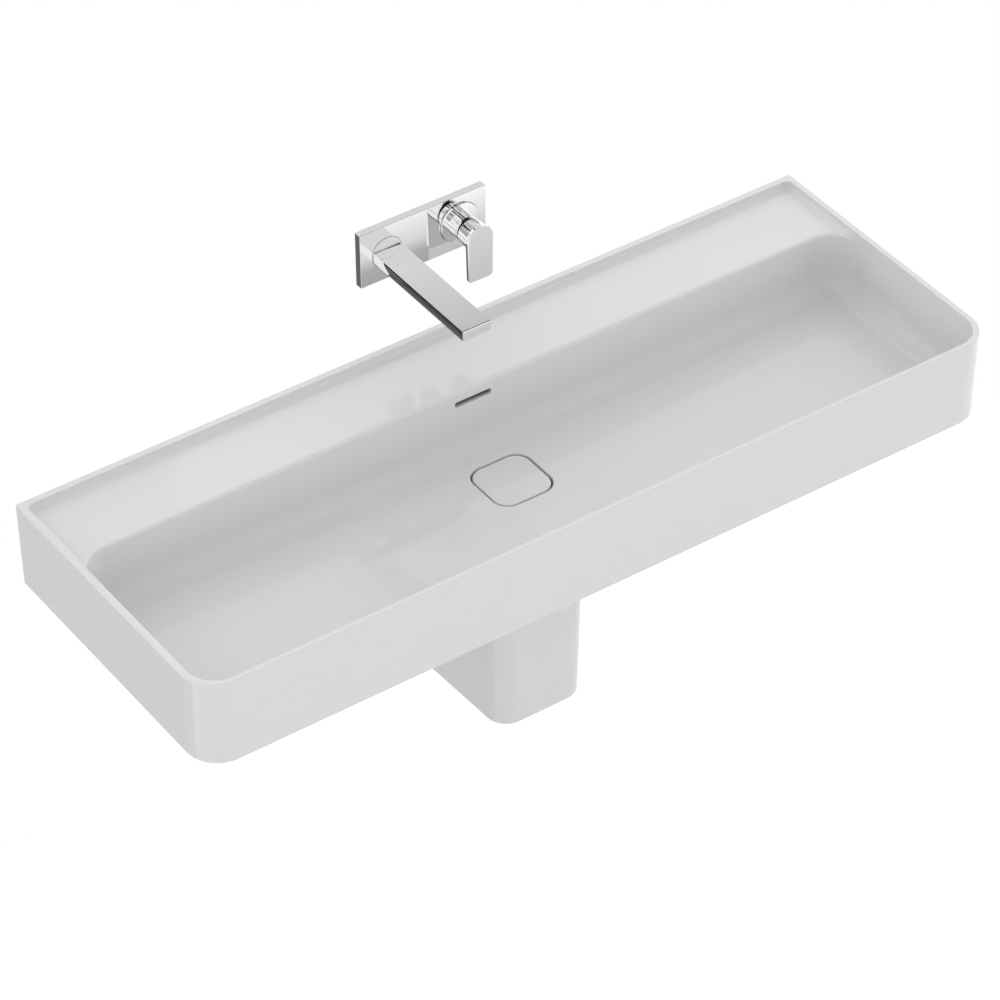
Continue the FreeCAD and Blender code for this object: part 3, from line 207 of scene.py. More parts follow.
@cache
def fine_grain() -> bpy.types.NodeTree:
    """Fine grain of a moulded, cast or worn surface.

    Returns:
        The group. Its only output is Height.
    """
    group = EffectGroup("fine_grain", ("Vector", "Scale"), ("Height",))
    noise = group.out("TexNoise", {"Vector": group.given["Vector"],
                                   "Scale": group.given["Scale"],
                                   "Detail": 4.0, "Roughness": 0.6})
    group.feed(group.results, {"Height": noise})
    return group.tree


@dataclass(frozen=True)
class Finish:
    """A material's finish: its colour, its gloss and how both vary over the surface."""

    name: str
    colour: Point
    roughness: float
    metallic: float = 0.0
    colour_share: float = 0.97
    roughness_spread: float = 0.03
    swell_scale: float = 6.0
    swell_height: float = 0.0
    grain_scale: float = 400.0
    grain_height: float = 0.00002

    @cache
    def material(self) -> bpy.types.Material:
        """Build the material the first time that it is asked for.

        Returns:
            The material with its procedural nodes.
        """
        made = bpy.data.materials.new("finish_" + self.name)
        made.use_nodes = True
        board = NodeBoard(made.node_tree)
        place = board.add("TexCoord").outputs["Object"]
        uneven, grain = board.add("Group"), board.add("Group")
        uneven.node_tree, grain.node_tree = uneven_surface(), fine_grain()
        darker = [channel * self.colour_share for channel in self.colour]
        board.feed(uneven, {"Vector": place, "Scale": self.swell_scale,
                            "Light Color": (*self.colour, 1.0), "Dark Color": (*darker, 1.0),
                            "Least Roughness": self.roughness,
                            "Most Roughness": self.roughness + self.roughness_spread})
        board.feed(grain, {"Vector": place, "Scale": self.grain_scale})
        normal = board.out("Bump", {"Strength": 1.0, "Distance": self.grain_height,
                                    "Height": grain.outputs["Height"]})
        if self.swell_height > 0:
            normal = board.out("Bump", {"Strength": 1.0, "Distance": self.swell_height,
                                        "Height": uneven.outputs["Height"], "Normal": normal})
        board.feed(board.tree.nodes["Principled BSDF"],
                   {"Metallic": self.metallic, "Base Color": uneven.outputs["Color"],
                    "Roughness": uneven.outputs["Roughness"], "Normal": normal})
        return made


GLAZE = Finish("white_glaze", (0.66, 0.661, 0.66), 0.05, colour_share=0.985,
               roughness_spread=0.04, swell_scale=5.0, swell_height=0.00008,
               grain_scale=220.0, grain_height=0.000004)
CHROME = Finish("chrome", (0.90, 0.905, 0.91), 0.02, metallic=1.0, colour_share=0.99,
                swell_scale=30.0, grain_scale=900.0, grain_height=0.000001)
BRASS = Finish("brass", (0.47, 0.30, 0.09), 0.3, metallic=1.0, colour_share=0.8,
               roughness_spread=0.15, swell_scale=60.0, grain_scale=700.0,
               grain_height=0.00006)
STEEL = Finish("steel", (0.34, 0.35, 0.36), 0.28, metallic=1.0, colour_share=0.85,
               roughness_spread=0.1, swell_scale=90.0, grain_scale=800.0,
               grain_height=0.00003)
GREY_PLASTIC = Finish("grey_plastic", (0.26, 0.27, 0.28), 0.45, colour_share=0.94,
                      roughness_spread=0.08, swell_scale=40.0, grain_scale=900.0)
WHITE_PLASTIC = Finish("white_plastic", (0.70, 0.70, 0.68), 0.34, colour_share=0.96,
                       roughness_spread=0.08, swell_scale=25.0, grain_scale=700.0)
BLACK_RUBBER = Finish("black_rubber", (0.025, 0.025, 0.026), 0.6, colour_share=0.8,
                      roughness_spread=0.15, swell_scale=60.0, grain_scale=600.0,
                      grain_height=0.00005)
GREY_FOAM = Finish("grey_foam", (0.05, 0.05, 0.055), 0.85, colour_share=0.6,
                   roughness_spread=0.1, swell_scale=400.0, grain_scale=1500.0,
                   grain_height=0.0002)
DISC_CERAMIC = Finish("disc_ceramic", (0.80, 0.78, 0.73), 0.2, roughness_spread=0.05,
                      swell_scale=120.0, grain_scale=2000.0, grain_height=0.000002)

FINISH_OF_SLOT = {finish.name: finish for finish in (
    GLAZE, CHROME, BRASS, STEEL, GREY_PLASTIC, WHITE_PLASTIC, BLACK_RUBBER, GREY_FOAM,
    DISC_CERAMIC)}


# Mesh building with bmesh operators


def new_box(half: float, depth: Span, height: Span, x: float = 0.0) -> Mesh:
    """Start a closed box.

    Args:
        half: Half its width.
        depth: Where it starts and ends along Y.
        height: Where it starts and ends along Z.
        x: Its middle along X.

    Returns:
        The box.
    """
    low = Vector((x - half, depth[0], height[0]))
    high = Vector((x + half, depth[1], height[1]))
    place = Matrix.Translation((high + low) / 2) @ Matrix.Diagonal((*(high - low), 1.0))
    mesh = bmesh.new()
    bmesh.ops.create_cube(mesh, size=1.0, matrix=place)
    return mesh


def rod(radius: float, start: float, end: float) -> tuple[Span, ...]:
    """Profile of a plain round rod, for new_turning."""
    return (0.0, start), (radius, start), (radius, end), (0.0, end)


def new_turning(profile: Sequence[Span], start: Point, axis: Point, steps: int) -> Mesh:
    """Spin a closed profile into a round body.

    Args:
        profile: Points as (radius, distance along the axis), in order round the section.
        start: Where the axis begins.
        axis: The direction of the axis.
        steps: Number of steps in the full turn.

    Returns:
        The round body.
    """
    mesh = bmesh.new()
    verts = [mesh.verts.new((radius, 0.0, rise)) for radius, rise in profile]
    edges = [mesh.edges.new(pair) for pair in zip(verts, verts[1:])]
    if profile[0][0] > 0 and profile[-1][0] > 0:
        edges.append(mesh.edges.new((verts[-1], verts[0])))
    bmesh.ops.spin(mesh, geom=verts + edges, cent=(0, 0, 0), axis=UP, angle=2 * math.pi,
                   steps=steps, use_merge=True, use_duplicate=False)
    bmesh.ops.remove_doubles(mesh, verts=mesh.verts, dist=MERGE)
    turn = Vector(UP).rotation_difference(Vector(axis)).to_matrix().to_4x4()
    bmesh.ops.transform(mesh, matrix=Matrix.Translation(start) @ turn, verts=mesh.verts)
    return mesh


def edges_where(mesh: Mesh, test: EndsTest) -> list[Edge]:
    """Edges whose two ends pass a test."""
    return [edge for edge in mesh.edges if test(edge.verts[0].co, edge.verts[1].co)]


def upright(one: Vector, other: Vector) -> bool:
    """Whether an edge stands upright."""
    return abs(one.x - other.x) < HAIR and abs(one.y - other.y) < HAIR


def along_y(one: Vector, other: Vector) -> bool:
    """Whether an edge runs straight away from the wall."""
    return abs(one.x - other.x) < HAIR and abs(one.z - other.z) < HAIR


def posts(start: float = -math.inf, end: float = math.inf) -> EndsTest:
    """Make a test for upright edges between two places along Y."""
    return lambda one, other: upright(one, other) and start < one.y < end


def below(level: float) -> EndsTest:
    """Make a test for edges that lie no higher than a level."""
    return lambda one, other: max(one.z, other.z) < level + HAIR


def above(level: float) -> EndsTest:
    """Make a test for edges that lie no lower than a level."""
    return lambda one, other: min(one.z, other.z) > level - HAIR


def within(half: float, depth: Span, height: Span) -> EndsTest:
    """Make a test for edges that lie in a box, with a little play in width and depth.

    Args:
        half: Half the box's width.
        depth: Where it starts and ends along Y.
        height: Where it starts and ends along Z.

    Returns:
        The test.
    """
    def inside(end: Vector) -> bool:
        """Whether one end lies in the box."""
        return (abs(end.x) < half + LOOSE and height[0] < end.z < height[1]
                and depth[0] - LOOSE < end.y < depth[1] + LOOSE)
    return lambda one, other: inside(one) and inside(other)


def round_edges(mesh: Mesh, edges: Iterable[Edge], shape: Round) -> None:
    """Round the given edges of a mesh."""
    bmesh.ops.bevel(mesh, geom=list(edges), offset=shape.reach, offset_type="OFFSET",
                    segments=shape.facets, profile=0.5, affect="EDGES", material=-1,
                    clamp_overlap=True)


def round_where(mesh: Mesh, test: EndsTest, shape: Round) -> int:
    """Round the edges of a mesh whose ends pass a test.

    Args:
        mesh: The mesh that is changed.
        test: Tells from an edge's two ends whether it is rounded.
        shape: The round.

    Returns:
        The number of edges that were rounded.
    """
    found = edges_where(mesh, test)
    round_edges(mesh, found, shape)
    return len(found)


def slice_flat(mesh: Mesh, place: Point, normal: Point, drop: bool = False) -> list[Edge]:
    """Cut through a mesh along a plane.

    Args:
        mesh: The mesh that is changed.
        place: A point of the plane.
        normal: The plane's direction.
        drop: Whether what lies beyond the plane goes away.

    Returns:
        The edges in the plane.
    """
    cut = bmesh.ops.bisect_plane(mesh, geom=[*mesh.verts, *mesh.edges, *mesh.faces],
                                 plane_co=place, plane_no=normal, clear_outer=drop)
    return [item for item in cut["geom_cut"] if isinstance(item, Edge)]


def link_mesh(mesh: Mesh, name: str) -> Piece:
    """Put a bmesh into the scene as an object.

    Args:
        mesh: The mesh, which is freed.
        name: The object's name.

    Returns:
        The new object.
    """
    data = bpy.data.meshes.new(name)
    mesh.to_mesh(data)
    mesh.free()
    made = bpy.data.objects.new(name, data)
    bpy.context.scene.collection.objects.link(made)
    return made


def as_object(mesh: Mesh, name: str) -> Piece:
    """Turn a closed bmesh into an object whose faces point outwards."""
    bmesh.ops.remove_doubles(mesh, verts=mesh.verts, dist=MERGE)
    bmesh.ops.recalc_face_normals(mesh, faces=mesh.faces)
    return link_mesh(mesh, name)


def combine(piece: Piece, how: Join, *tools: Mesh) -> None:
    """Cut tool bodies out of a piece, or add them, one after the other.

    Args:
        piece: The piece that is changed.
        how: Whether the tools are cut out or added.
        *tools: The tool bodies, which are freed.
    """
    for tool in tools:
        helper = as_object(tool, "tool")
        step = piece.modifiers.new("join", "BOOLEAN")
        step.operation = how.value
        step.solver = "EXACT"
        step.object = helper
        graph = bpy.context.evaluated_depsgraph_get()
        result = bpy.data.meshes.new_from_object(piece.evaluated_get(graph))
        piece.modifiers.remove(step)
        before, piece.data = piece.data, result
        result.name = piece.name
        spare = helper.data
        bpy.data.objects.remove(helper)
        for old in (before, spare):
            bpy.data.meshes.remove(old)


def soften(piece: Piece, test: EndsTest, shape: Round) -> None:
    """Round the edges of a finished piece whose ends pass a test.

    Args:
        piece: The piece that is changed.
        test: Tells from an edge's two ends whether it is rounded.
        shape: The round.
    """
    mesh = bmesh.new()
    mesh.from_mesh(piece.data)
    bmesh.ops.remove_doubles(mesh, verts=mesh.verts, dist=MERGE_AFTER)
    count = round_where(mesh, test, shape)
    mesh.to_mesh(piece.data)
    mesh.free()
    LOG.info("%s: %d edges rounded by %.4f m", piece.name, count, shape.reach)


def settle(piece: Piece, body: Body, finish: Finish, sharp: float, *nodes: str) -> None:
    """Shade and dress a piece, and let it ride on its body in place of CAD nodes.

    Args:
        piece: The finished piece.
        body: The body that it moves with.
        finish: Its finish, which has the name of the record's material slot.
        sharp: Edges with a larger angle, in degrees, stay sharp.
        *nodes: The CAD nodes that it stands for.
    """
    piece.data.shade_smooth()
    piece.data.set_sharp_from_angle(angle=math.radians(sharp))
    even = piece.modifiers.new("even_shading", "WEIGHTED_NORMAL")
    even.keep_sharp = True
    even.weight = FLAT_WEIGHT
    piece.data.materials.clear()
    piece.data.materials.append(finish.material())
    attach(piece, body.value)
    if nodes:
        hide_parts(*nodes)
    LOG.info("%s: %d faces", piece.name, len(piece.data.polygons))


@dataclass
class Basin:
    """The glazed ceramic basin: shell, tap ledge, bowl, drain recess and overflow."""

    half_width: float = 0.600
    depth: float = 0.430
    rim: float = 0.080
    foot: float = -0.0474
    draft: float = 0.0024
    corner: Round = Round(0.046, 18)
    rim_round: Round = Round(0.0025, 5)
    inner_round: Round = Round(0.0022, 4)
    opening_half: float = 0.591
    opening_back: float = 0.009
    opening_front: float = 0.423
    ledge: float = 0.069
    ledge_front: float = 0.120
    ledge_round: Round = Round(0.008, 7)
    ledge_corner: Round = Round(0.010, 8)
    ledge_overlap: float = 0.012
    lip: Round = Round(0.006, 6)
    bowl_back_corner: Round = Round(0.045, 14)
    bowl_front_corner: Round = Round(0.0395, 14)
    bowl_round: Round = Round(0.034, 14)
    side_slope: float = 0.003
    back_slope: float = 0.006
    drain_top: float = -0.0276
    floor_fall: float = 0.0106
    floor_wall: float = 0.0134
    drain_y: float = -0.206
    drain_half: float = 0.0447
    drain_corner: Round = Round(0.0235, 12)
    recess_floor: float = -0.0406
    recess_round: Round = Round(0.0022, 3)
    waste_hole: float = 0.023
    waste_steps: int = 64
    boss_radius: float = 0.044
    boss_foot: float = -0.072
    boss_edge: float = 0.002
    slot_half: float = 0.0285
    slot_level: float = 0.0505
    slot_rise: float = 0.004
    slot_end: Round = Round(0.00392, 6)
    slot_drop: float = 0.010
    slot_wall: float = 0.0085
    slot_lip: Round = Round(0.0016, 4)
    duct_half: float = 0.030
    duct_wall: float = 0.008
    duct_depth: float = 0.016
    duct_height: float = 0.010
    duct_edge: Round = Round(0.0015, 3)
    pad_half_back: float = 0.1005
    pad_half_front: float = 0.0903
    pad_front: float = 0.298
    pad_corner: Round = Round(0.030, 10)
    skirt_wall: float = 0.012
    skirt_corner: Round = Round(0.034, 12)
    back_wall: float = 0.014
    ledge_wall: float = 0.012
    channel_corner: Round = Round(0.010, 6)
    channel_past: float = 0.012
    bolt_hole: float = 0.0088
    bolt_x: float = 0.400
    bolt_steps: int = 32
    overrun: float = 0.001
    past: float = 0.01

    def block(self) -> Mesh:
        """Outer block, narrower at its foot, with round front corners and rim.

        Returns:
            The closed body.
        """
        mesh = new_box(self.half_width, (-self.depth, 0.0), (self.foot, self.rim))
        round_where(mesh, posts(end=-self.depth / 2), self.corner)
        for vert in mesh.verts:
            if vert.co.z < 0:
                vert.co.x *= 1 - self.draft / self.half_width
                vert.co.y *= 1 - self.draft / self.depth
        round_where(mesh, lambda a, b: min(a.z, b.z) > self.rim - HAIR
                    and min(a.y, b.y) < -LOOSE, self.rim_round)
        return mesh

    def bowl(self) -> Mesh:
        """Space of the bowl, with its rounded foot, falling floor and rolled lip.

        Returns:
            The closed body.
        """
        low = self.drain_top - self.overrun
        middle = -(self.opening_front + self.ledge_front) / 2
        mesh = new_box(self.opening_half, (-self.opening_front, -self.ledge_front),
                       (low, self.rim + 2 * self.past))
        round_where(mesh, posts(start=middle), self.bowl_back_corner)
        round_where(mesh, posts(end=middle), self.bowl_front_corner)
        slice_flat(mesh, (0, 0, 0), SIDEWAYS)
        lip, steps = self.lip
        levels = [self.ledge - lip * math.cos(QUARTER_TURN * step / steps)
                  for step in range(steps + 1)]
        for level in levels:
            slice_flat(mesh, (0, 0, level), UP)
        for vert in mesh.verts:
            x, y, z = vert.co
            if y > -(self.ledge_front + self.bowl_back_corner.reach + HAIR):
                if z >= levels[-1] - HAIR:
                    vert.co.y += lip
                elif z >= levels[0] - HAIR:
                    down = (self.ledge - z) / lip
                    vert.co.y += lip * (1 - math.sqrt(max(0.0, 1 - (1 - down) ** 2)))
            if z < low + HAIR:
                vert.co.z = self.drain_top + self.floor_fall * abs(x) / self.opening_half
                vert.co.x *= 1 - self.side_slope / self.opening_half
                vert.co.y += -self.back_slope if y > middle else self.side_slope
        top_of_foot = self.drain_top + self.floor_fall + LOOSE
        round_where(mesh, lambda a, b: max(a.z, b.z) < top_of_foot
                    and max(abs(a.x), abs(b.x)) > HAIR, self.bowl_round)
        return mesh

    def ledge_space(self) -> Mesh:
        """Space above the tap ledge, with a rounded foot.

        Returns:
            The closed body.
        """
        front = self.ledge_front + self.bowl_back_corner.reach + self.ledge_overlap
        mesh = new_box(self.opening_half, (-front, -self.opening_back),
                       (self.ledge, self.rim + 2 * self.past))
        round_where(mesh, posts(start=-front / 2), self.ledge_corner)
        round_where(mesh, lambda a, b: max(a.z, b.z) < self.ledge + HAIR
                    and max(a.y, b.y) > LOOSE - front, self.ledge_round)
        return mesh

    def recess(self) -> Mesh:
        """Rounded square recess in which the waste's cover lies.

        Returns:
            The closed body.
        """
        mesh = new_box(self.drain_half, (self.drain_y - self.drain_half,
                                         self.drain_y + self.drain_half),
                       (self.recess_floor, 0.0))
        round_where(mesh, upright, self.drain_corner)
        return mesh

    def overflow(self) -> list[Mesh]:
        """Slot in the bowl's back wall and the duct behind it.

        Returns:
            The closed bodies.
        """
        start = -(self.ledge_front + self.back_slope + self.overrun)
        reach = self.back_slope + self.ledge_wall + self.duct_depth
        slot = new_box(self.slot_half, (start, start + reach),
                       (self.slot_level - self.slot_rise, self.slot_level + self.slot_rise))
        round_where(slot, along_y, self.slot_end)
        front = -(self.ledge_front - self.ledge_wall)
        top = self.slot_level + 2 * self.slot_rise
        low = self.recess_floor - self.duct_wall
        behind_slot = new_box(self.duct_half, (start + self.overrun + self.slot_wall,
                                               front + self.overrun),
                              (self.slot_level - self.slot_drop, top))
        down = new_box(self.duct_half, (front, front + self.duct_depth),
                       (low - self.duct_height, top))
        along = new_box(self.duct_half / 2, (self.drain_y, front + self.overrun),
                        (low - self.duct_height, low))
        return [slot, down, along, behind_slot]

    def underside(self) -> list[Mesh]:
        """Shallow space under the floor and the deep channel under the ledge.

        Returns:
            The closed bodies.
        """
        half = self.half_width - self.draft - self.skirt_wall
        front = self.depth - self.draft - self.skirt_wall
        level = self.drain_top - self.floor_wall
        shallow = new_box(half, (-front, -self.back_wall), (self.foot - self.past, level))
        slice_flat(shallow, (0, 0, 0), SIDEWAYS)
        rise = self.floor_fall / (self.opening_half - self.side_slope)
        for vert in shallow.verts:
            if vert.co.z > level - HAIR:
                vert.co.z += rise * abs(vert.co.x)
        round_where(shallow, lambda a, b: upright(a, b) and a.y < -front / 2
                    and abs(a.x) > half / 2, self.skirt_corner)
        deep = new_box(half, (-(self.ledge_front - self.ledge_wall), -self.back_wall),
                       (self.foot - self.channel_past, self.ledge - self.ledge_wall))
        round_where(deep, upright, self.channel_corner)
        return [shallow, deep]

    def additions(self) -> list[Mesh]:
        """Landing for the half pedestal, boss round the waste and the duct's walls.

        Returns:
            The closed bodies.
        """
        core = self.drain_top - self.floor_wall / 2
        channel = self.ledge_front - self.ledge_wall
        pad = new_box(self.pad_half_back, (-self.pad_front, -channel - self.overrun),
                      (self.foot, core))
        for vert in pad.verts:
            if vert.co.y < self.drain_y:
                vert.co.x *= self.pad_half_front / self.pad_half_back
        round_where(pad, posts(end=self.drain_y), self.pad_corner)
        low, radius, edge = self.boss_foot, self.boss_radius, self.boss_edge
        boss = new_turning(((0.0, low), (radius - edge, low), (radius, low + edge),
                            (radius, core - self.overrun), (0.0, core - self.overrun)),
                           (0.0, self.drain_y, 0.0), UP, self.waste_steps)
        half = self.duct_half + self.duct_wall
        back = -(channel - self.duct_depth - self.duct_wall)
        wall = new_box(half, (-self.ledge_front + edge, back),
                       (low, self.ledge - self.ledge_wall + edge))
        along = new_box(half, (self.drain_y, back - self.overrun), (low, core - edge))
        for duct in (wall, along):
            round_where(duct, below(low), self.duct_edge)
        return [pad, boss, wall, along]

    def holes(self) -> list[Mesh]:
        """Holes for the waste and for the two wall bolts.

        Returns:
            The closed bodies.
        """
        waste = new_turning(rod(self.waste_hole, self.boss_foot - self.past, 0.0),
                            (0.0, self.drain_y, 0.0), UP, self.waste_steps)
        reach = 2 * self.past
        bolts = [new_turning(rod(self.bolt_hole, -reach, reach), (x, 0.0, 0.0), INTO_WALL,
                             self.bolt_steps) for x in (-self.bolt_x, self.bolt_x)]
        return [waste, *bolts]

    def build(self) -> None:
        """Build the basin and round its rim, its drain recess and its slot."""
        piece = as_object(self.block(), "basin_shell")
        combine(piece, Join.CUT, *self.underside())
        combine(piece, Join.ADD, *self.additions())
        combine(piece, Join.CUT, self.bowl(), self.ledge_space(), self.recess(),
                *self.overflow(), *self.holes())
        soften(piece, within(self.opening_half, (-self.opening_front, -self.opening_back),
                             (self.rim - HAIR, math.inf)), self.inner_round)
        soften(piece, within(self.drain_half, (self.drain_y - self.drain_half,
                                               self.drain_y + self.drain_half),
                             (self.drain_top - 0.001, self.drain_top + 0.002)),
               self.recess_round)
        lower_half = within(self.slot_half,
                            (-self.ledge_front - self.back_slope, -self.ledge_front),
                            (self.slot_level - self.slot_rise - LOOSE,
                             self.slot_level - self.slot_rise / 4))
        soften(piece, lambda a, b: lower_half(a, b) and abs(a.y - b.y) < 0.001, self.slot_lip)
        settle(piece, Body.FIXED, GLAZE, 30.0, "basin_body")


@dataclass
class WasteCover:
    """The ceramic cover that lies in the drain recess."""

    half: float = 0.042
    corner: Round = Round(0.0215, 14)
    centre_y: float = -0.206
    top: float = -0.0276
    thickness: float = 0.006
    edge_round: Round = Round(0.0017, 4)
    foot_round: Round = Round(0.0008, 2)
    inset: float = 0.009

    def build(self) -> None:
        """Build the cover, with two insets that keep its flat top evenly shaded."""
        foot = self.top - self.thickness
        mesh = new_box(self.half, (self.centre_y - self.half, self.centre_y + self.half),
                       (foot, self.top))
        round_where(mesh, upright, self.corner)
        round_where(mesh, above(self.top), self.edge_round)
        top = max(mesh.faces, key=lambda face: len(face.verts) * face.normal.z)
        for _ in range(2):
            bmesh.ops.inset_region(mesh, faces=[top], thickness=self.inset, depth=0.0)
        round_where(mesh, below(foot), self.foot_round)
        settle(as_object(mesh, "waste_cover_cap"), Body.PLUG, GLAZE, 40.0, "waste_cover")


@dataclass
class HalfPedestal:
    """The ceramic half pedestal that hides the trap."""

    top: float = -0.0474
    foot: float = -0.3714
    half_back: float = 0.0785
    half_front: float = 0.0683
    reach: float = 0.276
    flare: float = 0.006
    corner: Round = Round(0.030, 14)
    wall: float = 0.010
    edge_round: Round = Round(0.0028, 4)
    ear_thickness: float = 0.012
    ear_top: float = -0.1134
    ear_height: float = 0.060
    ear_width: float = 0.034
    ear_overlap: float = 0.002
    ear_corner: Round = Round(0.006, 5)
    hole_x: float = 0.048
    hole: float = 0.0055
    hole_steps: int = 32
    past: float = 0.01

    def tapered(self, inset: float, past: float) -> Mesh:
        """Tapered body with round front corners.

        Args:
            inset: How far it lies inside the outer faces.
            past: How far it stands out above, below and behind.

        Returns:
            The closed body.
        """
        front = self.reach - inset
        mesh = new_box(1.0, (-front, past), (self.foot - past, self.top + past))
        for vert in mesh.verts:
            lean = self.half_front if vert.co.y < -front / 2 else self.half_back
            vert.co.x *= lean - inset
        round_where(mesh, posts(end=-front / 2),
                    Round(self.corner.reach - inset, self.corner.facets))
        for vert in mesh.verts:
            share = (vert.co.z - self.foot) / (self.top - self.foot)
            vert.co.x += math.copysign(self.flare * share, vert.co.x)
            if vert.co.y < -front / 2:
                vert.co.y -= self.flare * share
        return mesh

    def add_ear(self, piece: Piece, side: int) -> None:
        """Add one of the two lugs that the bolts hold.

        Args:
            piece: The pedestal's shell.
            side: -1 for the left lug, 1 for the right one.
        """
        outer = self.half_back - self.ear_overlap
        inner = self.half_back - self.wall - self.ear_width
        low = self.ear_top - self.ear_height
        ear = new_box((outer - inner) / 2, (-self.ear_thickness, 0.0), (low, self.ear_top),
                      side * (outer + inner) / 2)
        round_where(ear, lambda a, b: along_y(a, b) and abs(a.x - side * inner) < HAIR,
                    self.ear_corner)
        reach = 2 * self.past
        hole = new_turning(rod(self.hole, -reach, reach),
                           (side * self.hole_x, 0.0, self.ear_top - self.ear_height / 2),
                           INTO_WALL, self.hole_steps)
        combine(piece, Join.ADD, ear)
        combine(piece, Join.CUT, hole)

    def build(self) -> None:
        """Build the half pedestal."""
        piece = as_object(self.tapered(0.0, 0.0), "half_pedestal_shell")
        combine(piece, Join.CUT, self.tapered(self.wall, self.past))
        for side in (-1, 1):
            self.add_ear(piece, side)
        soften(piece, below(self.foot), self.edge_round)
        settle(piece, Body.FIXED, GLAZE, 34.0, "semi_pedestal")


@dataclass
class Mixer:
    """The chrome trim of the mixer: plate, spout, sleeve and lever.

    Depths are distances in front of the wall.
    """

    level: float = 0.2408
    spout_x: float = -0.055
    lever_x: float = 0.055
    bore_steps: int = 96
    outlet_steps: int = 64
    hub_steps: int = 48
    plate_half: float = 0.0955
    plate_half_height: float = 0.0407
    plate_back: float = 0.0032
    plate_front: float = 0.0137
    plate_wall: float = 0.0025
    plate_edge: Round = Round(0.0005, 3)
    hole_end: float = 0.03
    root_radius: float = 0.0222
    root_back: float = 0.0015
    root_front: float = 0.0142
    root_edge: float = 0.0002
    bar_top: float = 0.0063
    bar_thickness: float = 0.0145
    bar_half: float = 0.0211
    bar_reach: float = 0.212
    bar_edge: Round = Round(0.0005, 3)
    side_crown: Round = Round(0.0005, 8)
    tip_round: Round = Round(0.0018, 6)
    fillet_start: Span = (0.0023, 0.0009)
    fillet_end: Span = (0.0006, 0.0027)
    fillet_steps: int = 12
    bed: float = 0.0005
    play: float = 0.0001
    ring_gap: float = 0.0005
    # Depth and overlap of the black rings that paint the shade in the gaps round the spout's root
    # and the escutcheon
    ring_depth: float = 0.0022
    ring_lap: float = 0.002
    blend_length: float = 0.024
    blend_under: float = 0.0006
    outlet_radius: float = 0.012
    outlet_depth: float = 0.008
    outlet_y: float = -0.195
    nose_radius: float = 0.0165
    escutcheon: float = 0.0288
    escutcheon_depth: float = 0.0033
    sleeve_radius: float = 0.0182
    sleeve_front: float = 0.0338
    sleeve_edge: Round = Round(0.0018, 6)
    sleeve_lip: float = 0.0028
    # Angles between which black strips paint the shade of the gap between the sleeve and the lever's
    # head
    shade_from: float = 85.0
    shade_to: float = 123.0
    lip_radius: float = 0.0135
    head_radius: float = 0.0196
    paddle_front: float = 0.0605
    paddle_thickness: float = 0.004
    paddle_half: float = 0.0184
    paddle_drop: float = 0.062
    paddle_corner: Round = Round(0.005, 8)
    paddle_edge: Round = Round(0.0006, 3)
    gap_top: float = 0.0034
    gap_bottom: float = 0.001
    shoulder_turn: float = 36.0
    shoulder_width: float = 22.0
    shoulder_cut: float = 0.014
    head_edge: Round = Round(0.0016, 5)
    sharp: float = 1.0
    cavity_radius: float = 0.0152
    cavity_back: float = 0.02
    cavity_front: float = 0.050
    hub_radius: float = 0.0065
    hub_back: float = 0.041
    stem_half: float = 0.003
    stem_depth: Span = (-0.049, -0.040)

    def round_body(self, profile: Sequence[Span], x: float, steps: int = 128) -> Mesh:
        """Body spun round an axis that leaves the wall at the mixer's level."""
        return new_turning(profile, (x, 0.0, self.level), INTO_ROOM, steps)

    def plate(self) -> None:
        """Build the flat cover plate, hollow behind, with its two round holes."""
        low, high = self.level - self.plate_half_height, self.level + self.plate_half_height
        mesh = new_box(self.plate_half, (-self.plate_front, -self.plate_back), (low, high))
        round_where(mesh, lambda a, b: min(a.y, b.y) < -self.plate_back - HAIR,
                    self.plate_edge)
        piece = as_object(mesh, "mixer_plate_cover")
        wall = self.plate_wall
        hollow = new_box(self.plate_half - wall, (wall - self.plate_front, 0.0),
                         (low + wall, high - wall))
        holes = [self.round_body(rod(radius, 0.0, self.hole_end), x, self.bore_steps)
                 for x, radius in ((self.spout_x, self.root_radius + self.ring_gap),
                                   (self.lever_x, self.nose_radius + 2 * self.play))]
        combine(piece, Join.CUT, hollow, *holes)
        settle(piece, Body.FIXED, CHROME, 30.0, "mixer_plate")

    def spout_bar(self) -> Mesh:
        """Flat bar of the spout, with slightly crowned sides and a rounded tip edge.

        Returns:
            The closed body.
        """
        top = self.level + self.bar_top
        bottom = top - self.bar_thickness
        crown, steps = self.side_crown
        bar = new_box(self.bar_half, (-self.bar_reach, self.bar_edge.reach - self.root_front),
                      (bottom, top), self.spout_x)
        for step in range(1, steps):
            slice_flat(bar, (0, 0, bottom + self.bar_thickness * step / steps), UP)
        middle = (top + bottom) / 2
        for vert in bar.verts:
            share = (vert.co.z - middle) / (self.bar_thickness / 2)
            vert.co.x -= math.copysign(crown * share ** 2, vert.co.x - self.spout_x)
        round_where(bar, lambda a, b: max(a.y, b.y) < -self.bar_reach + HAIR
                    and min(a.z, b.z) > top - HAIR, self.tip_round)
        round_where(bar, lambda a, b: along_y(a, b)
                    and abs(a.x - self.spout_x) < self.bar_half - crown + HAIR
                    and not bottom + HAIR <= a.z <= top - HAIR, self.bar_edge)
        return bar

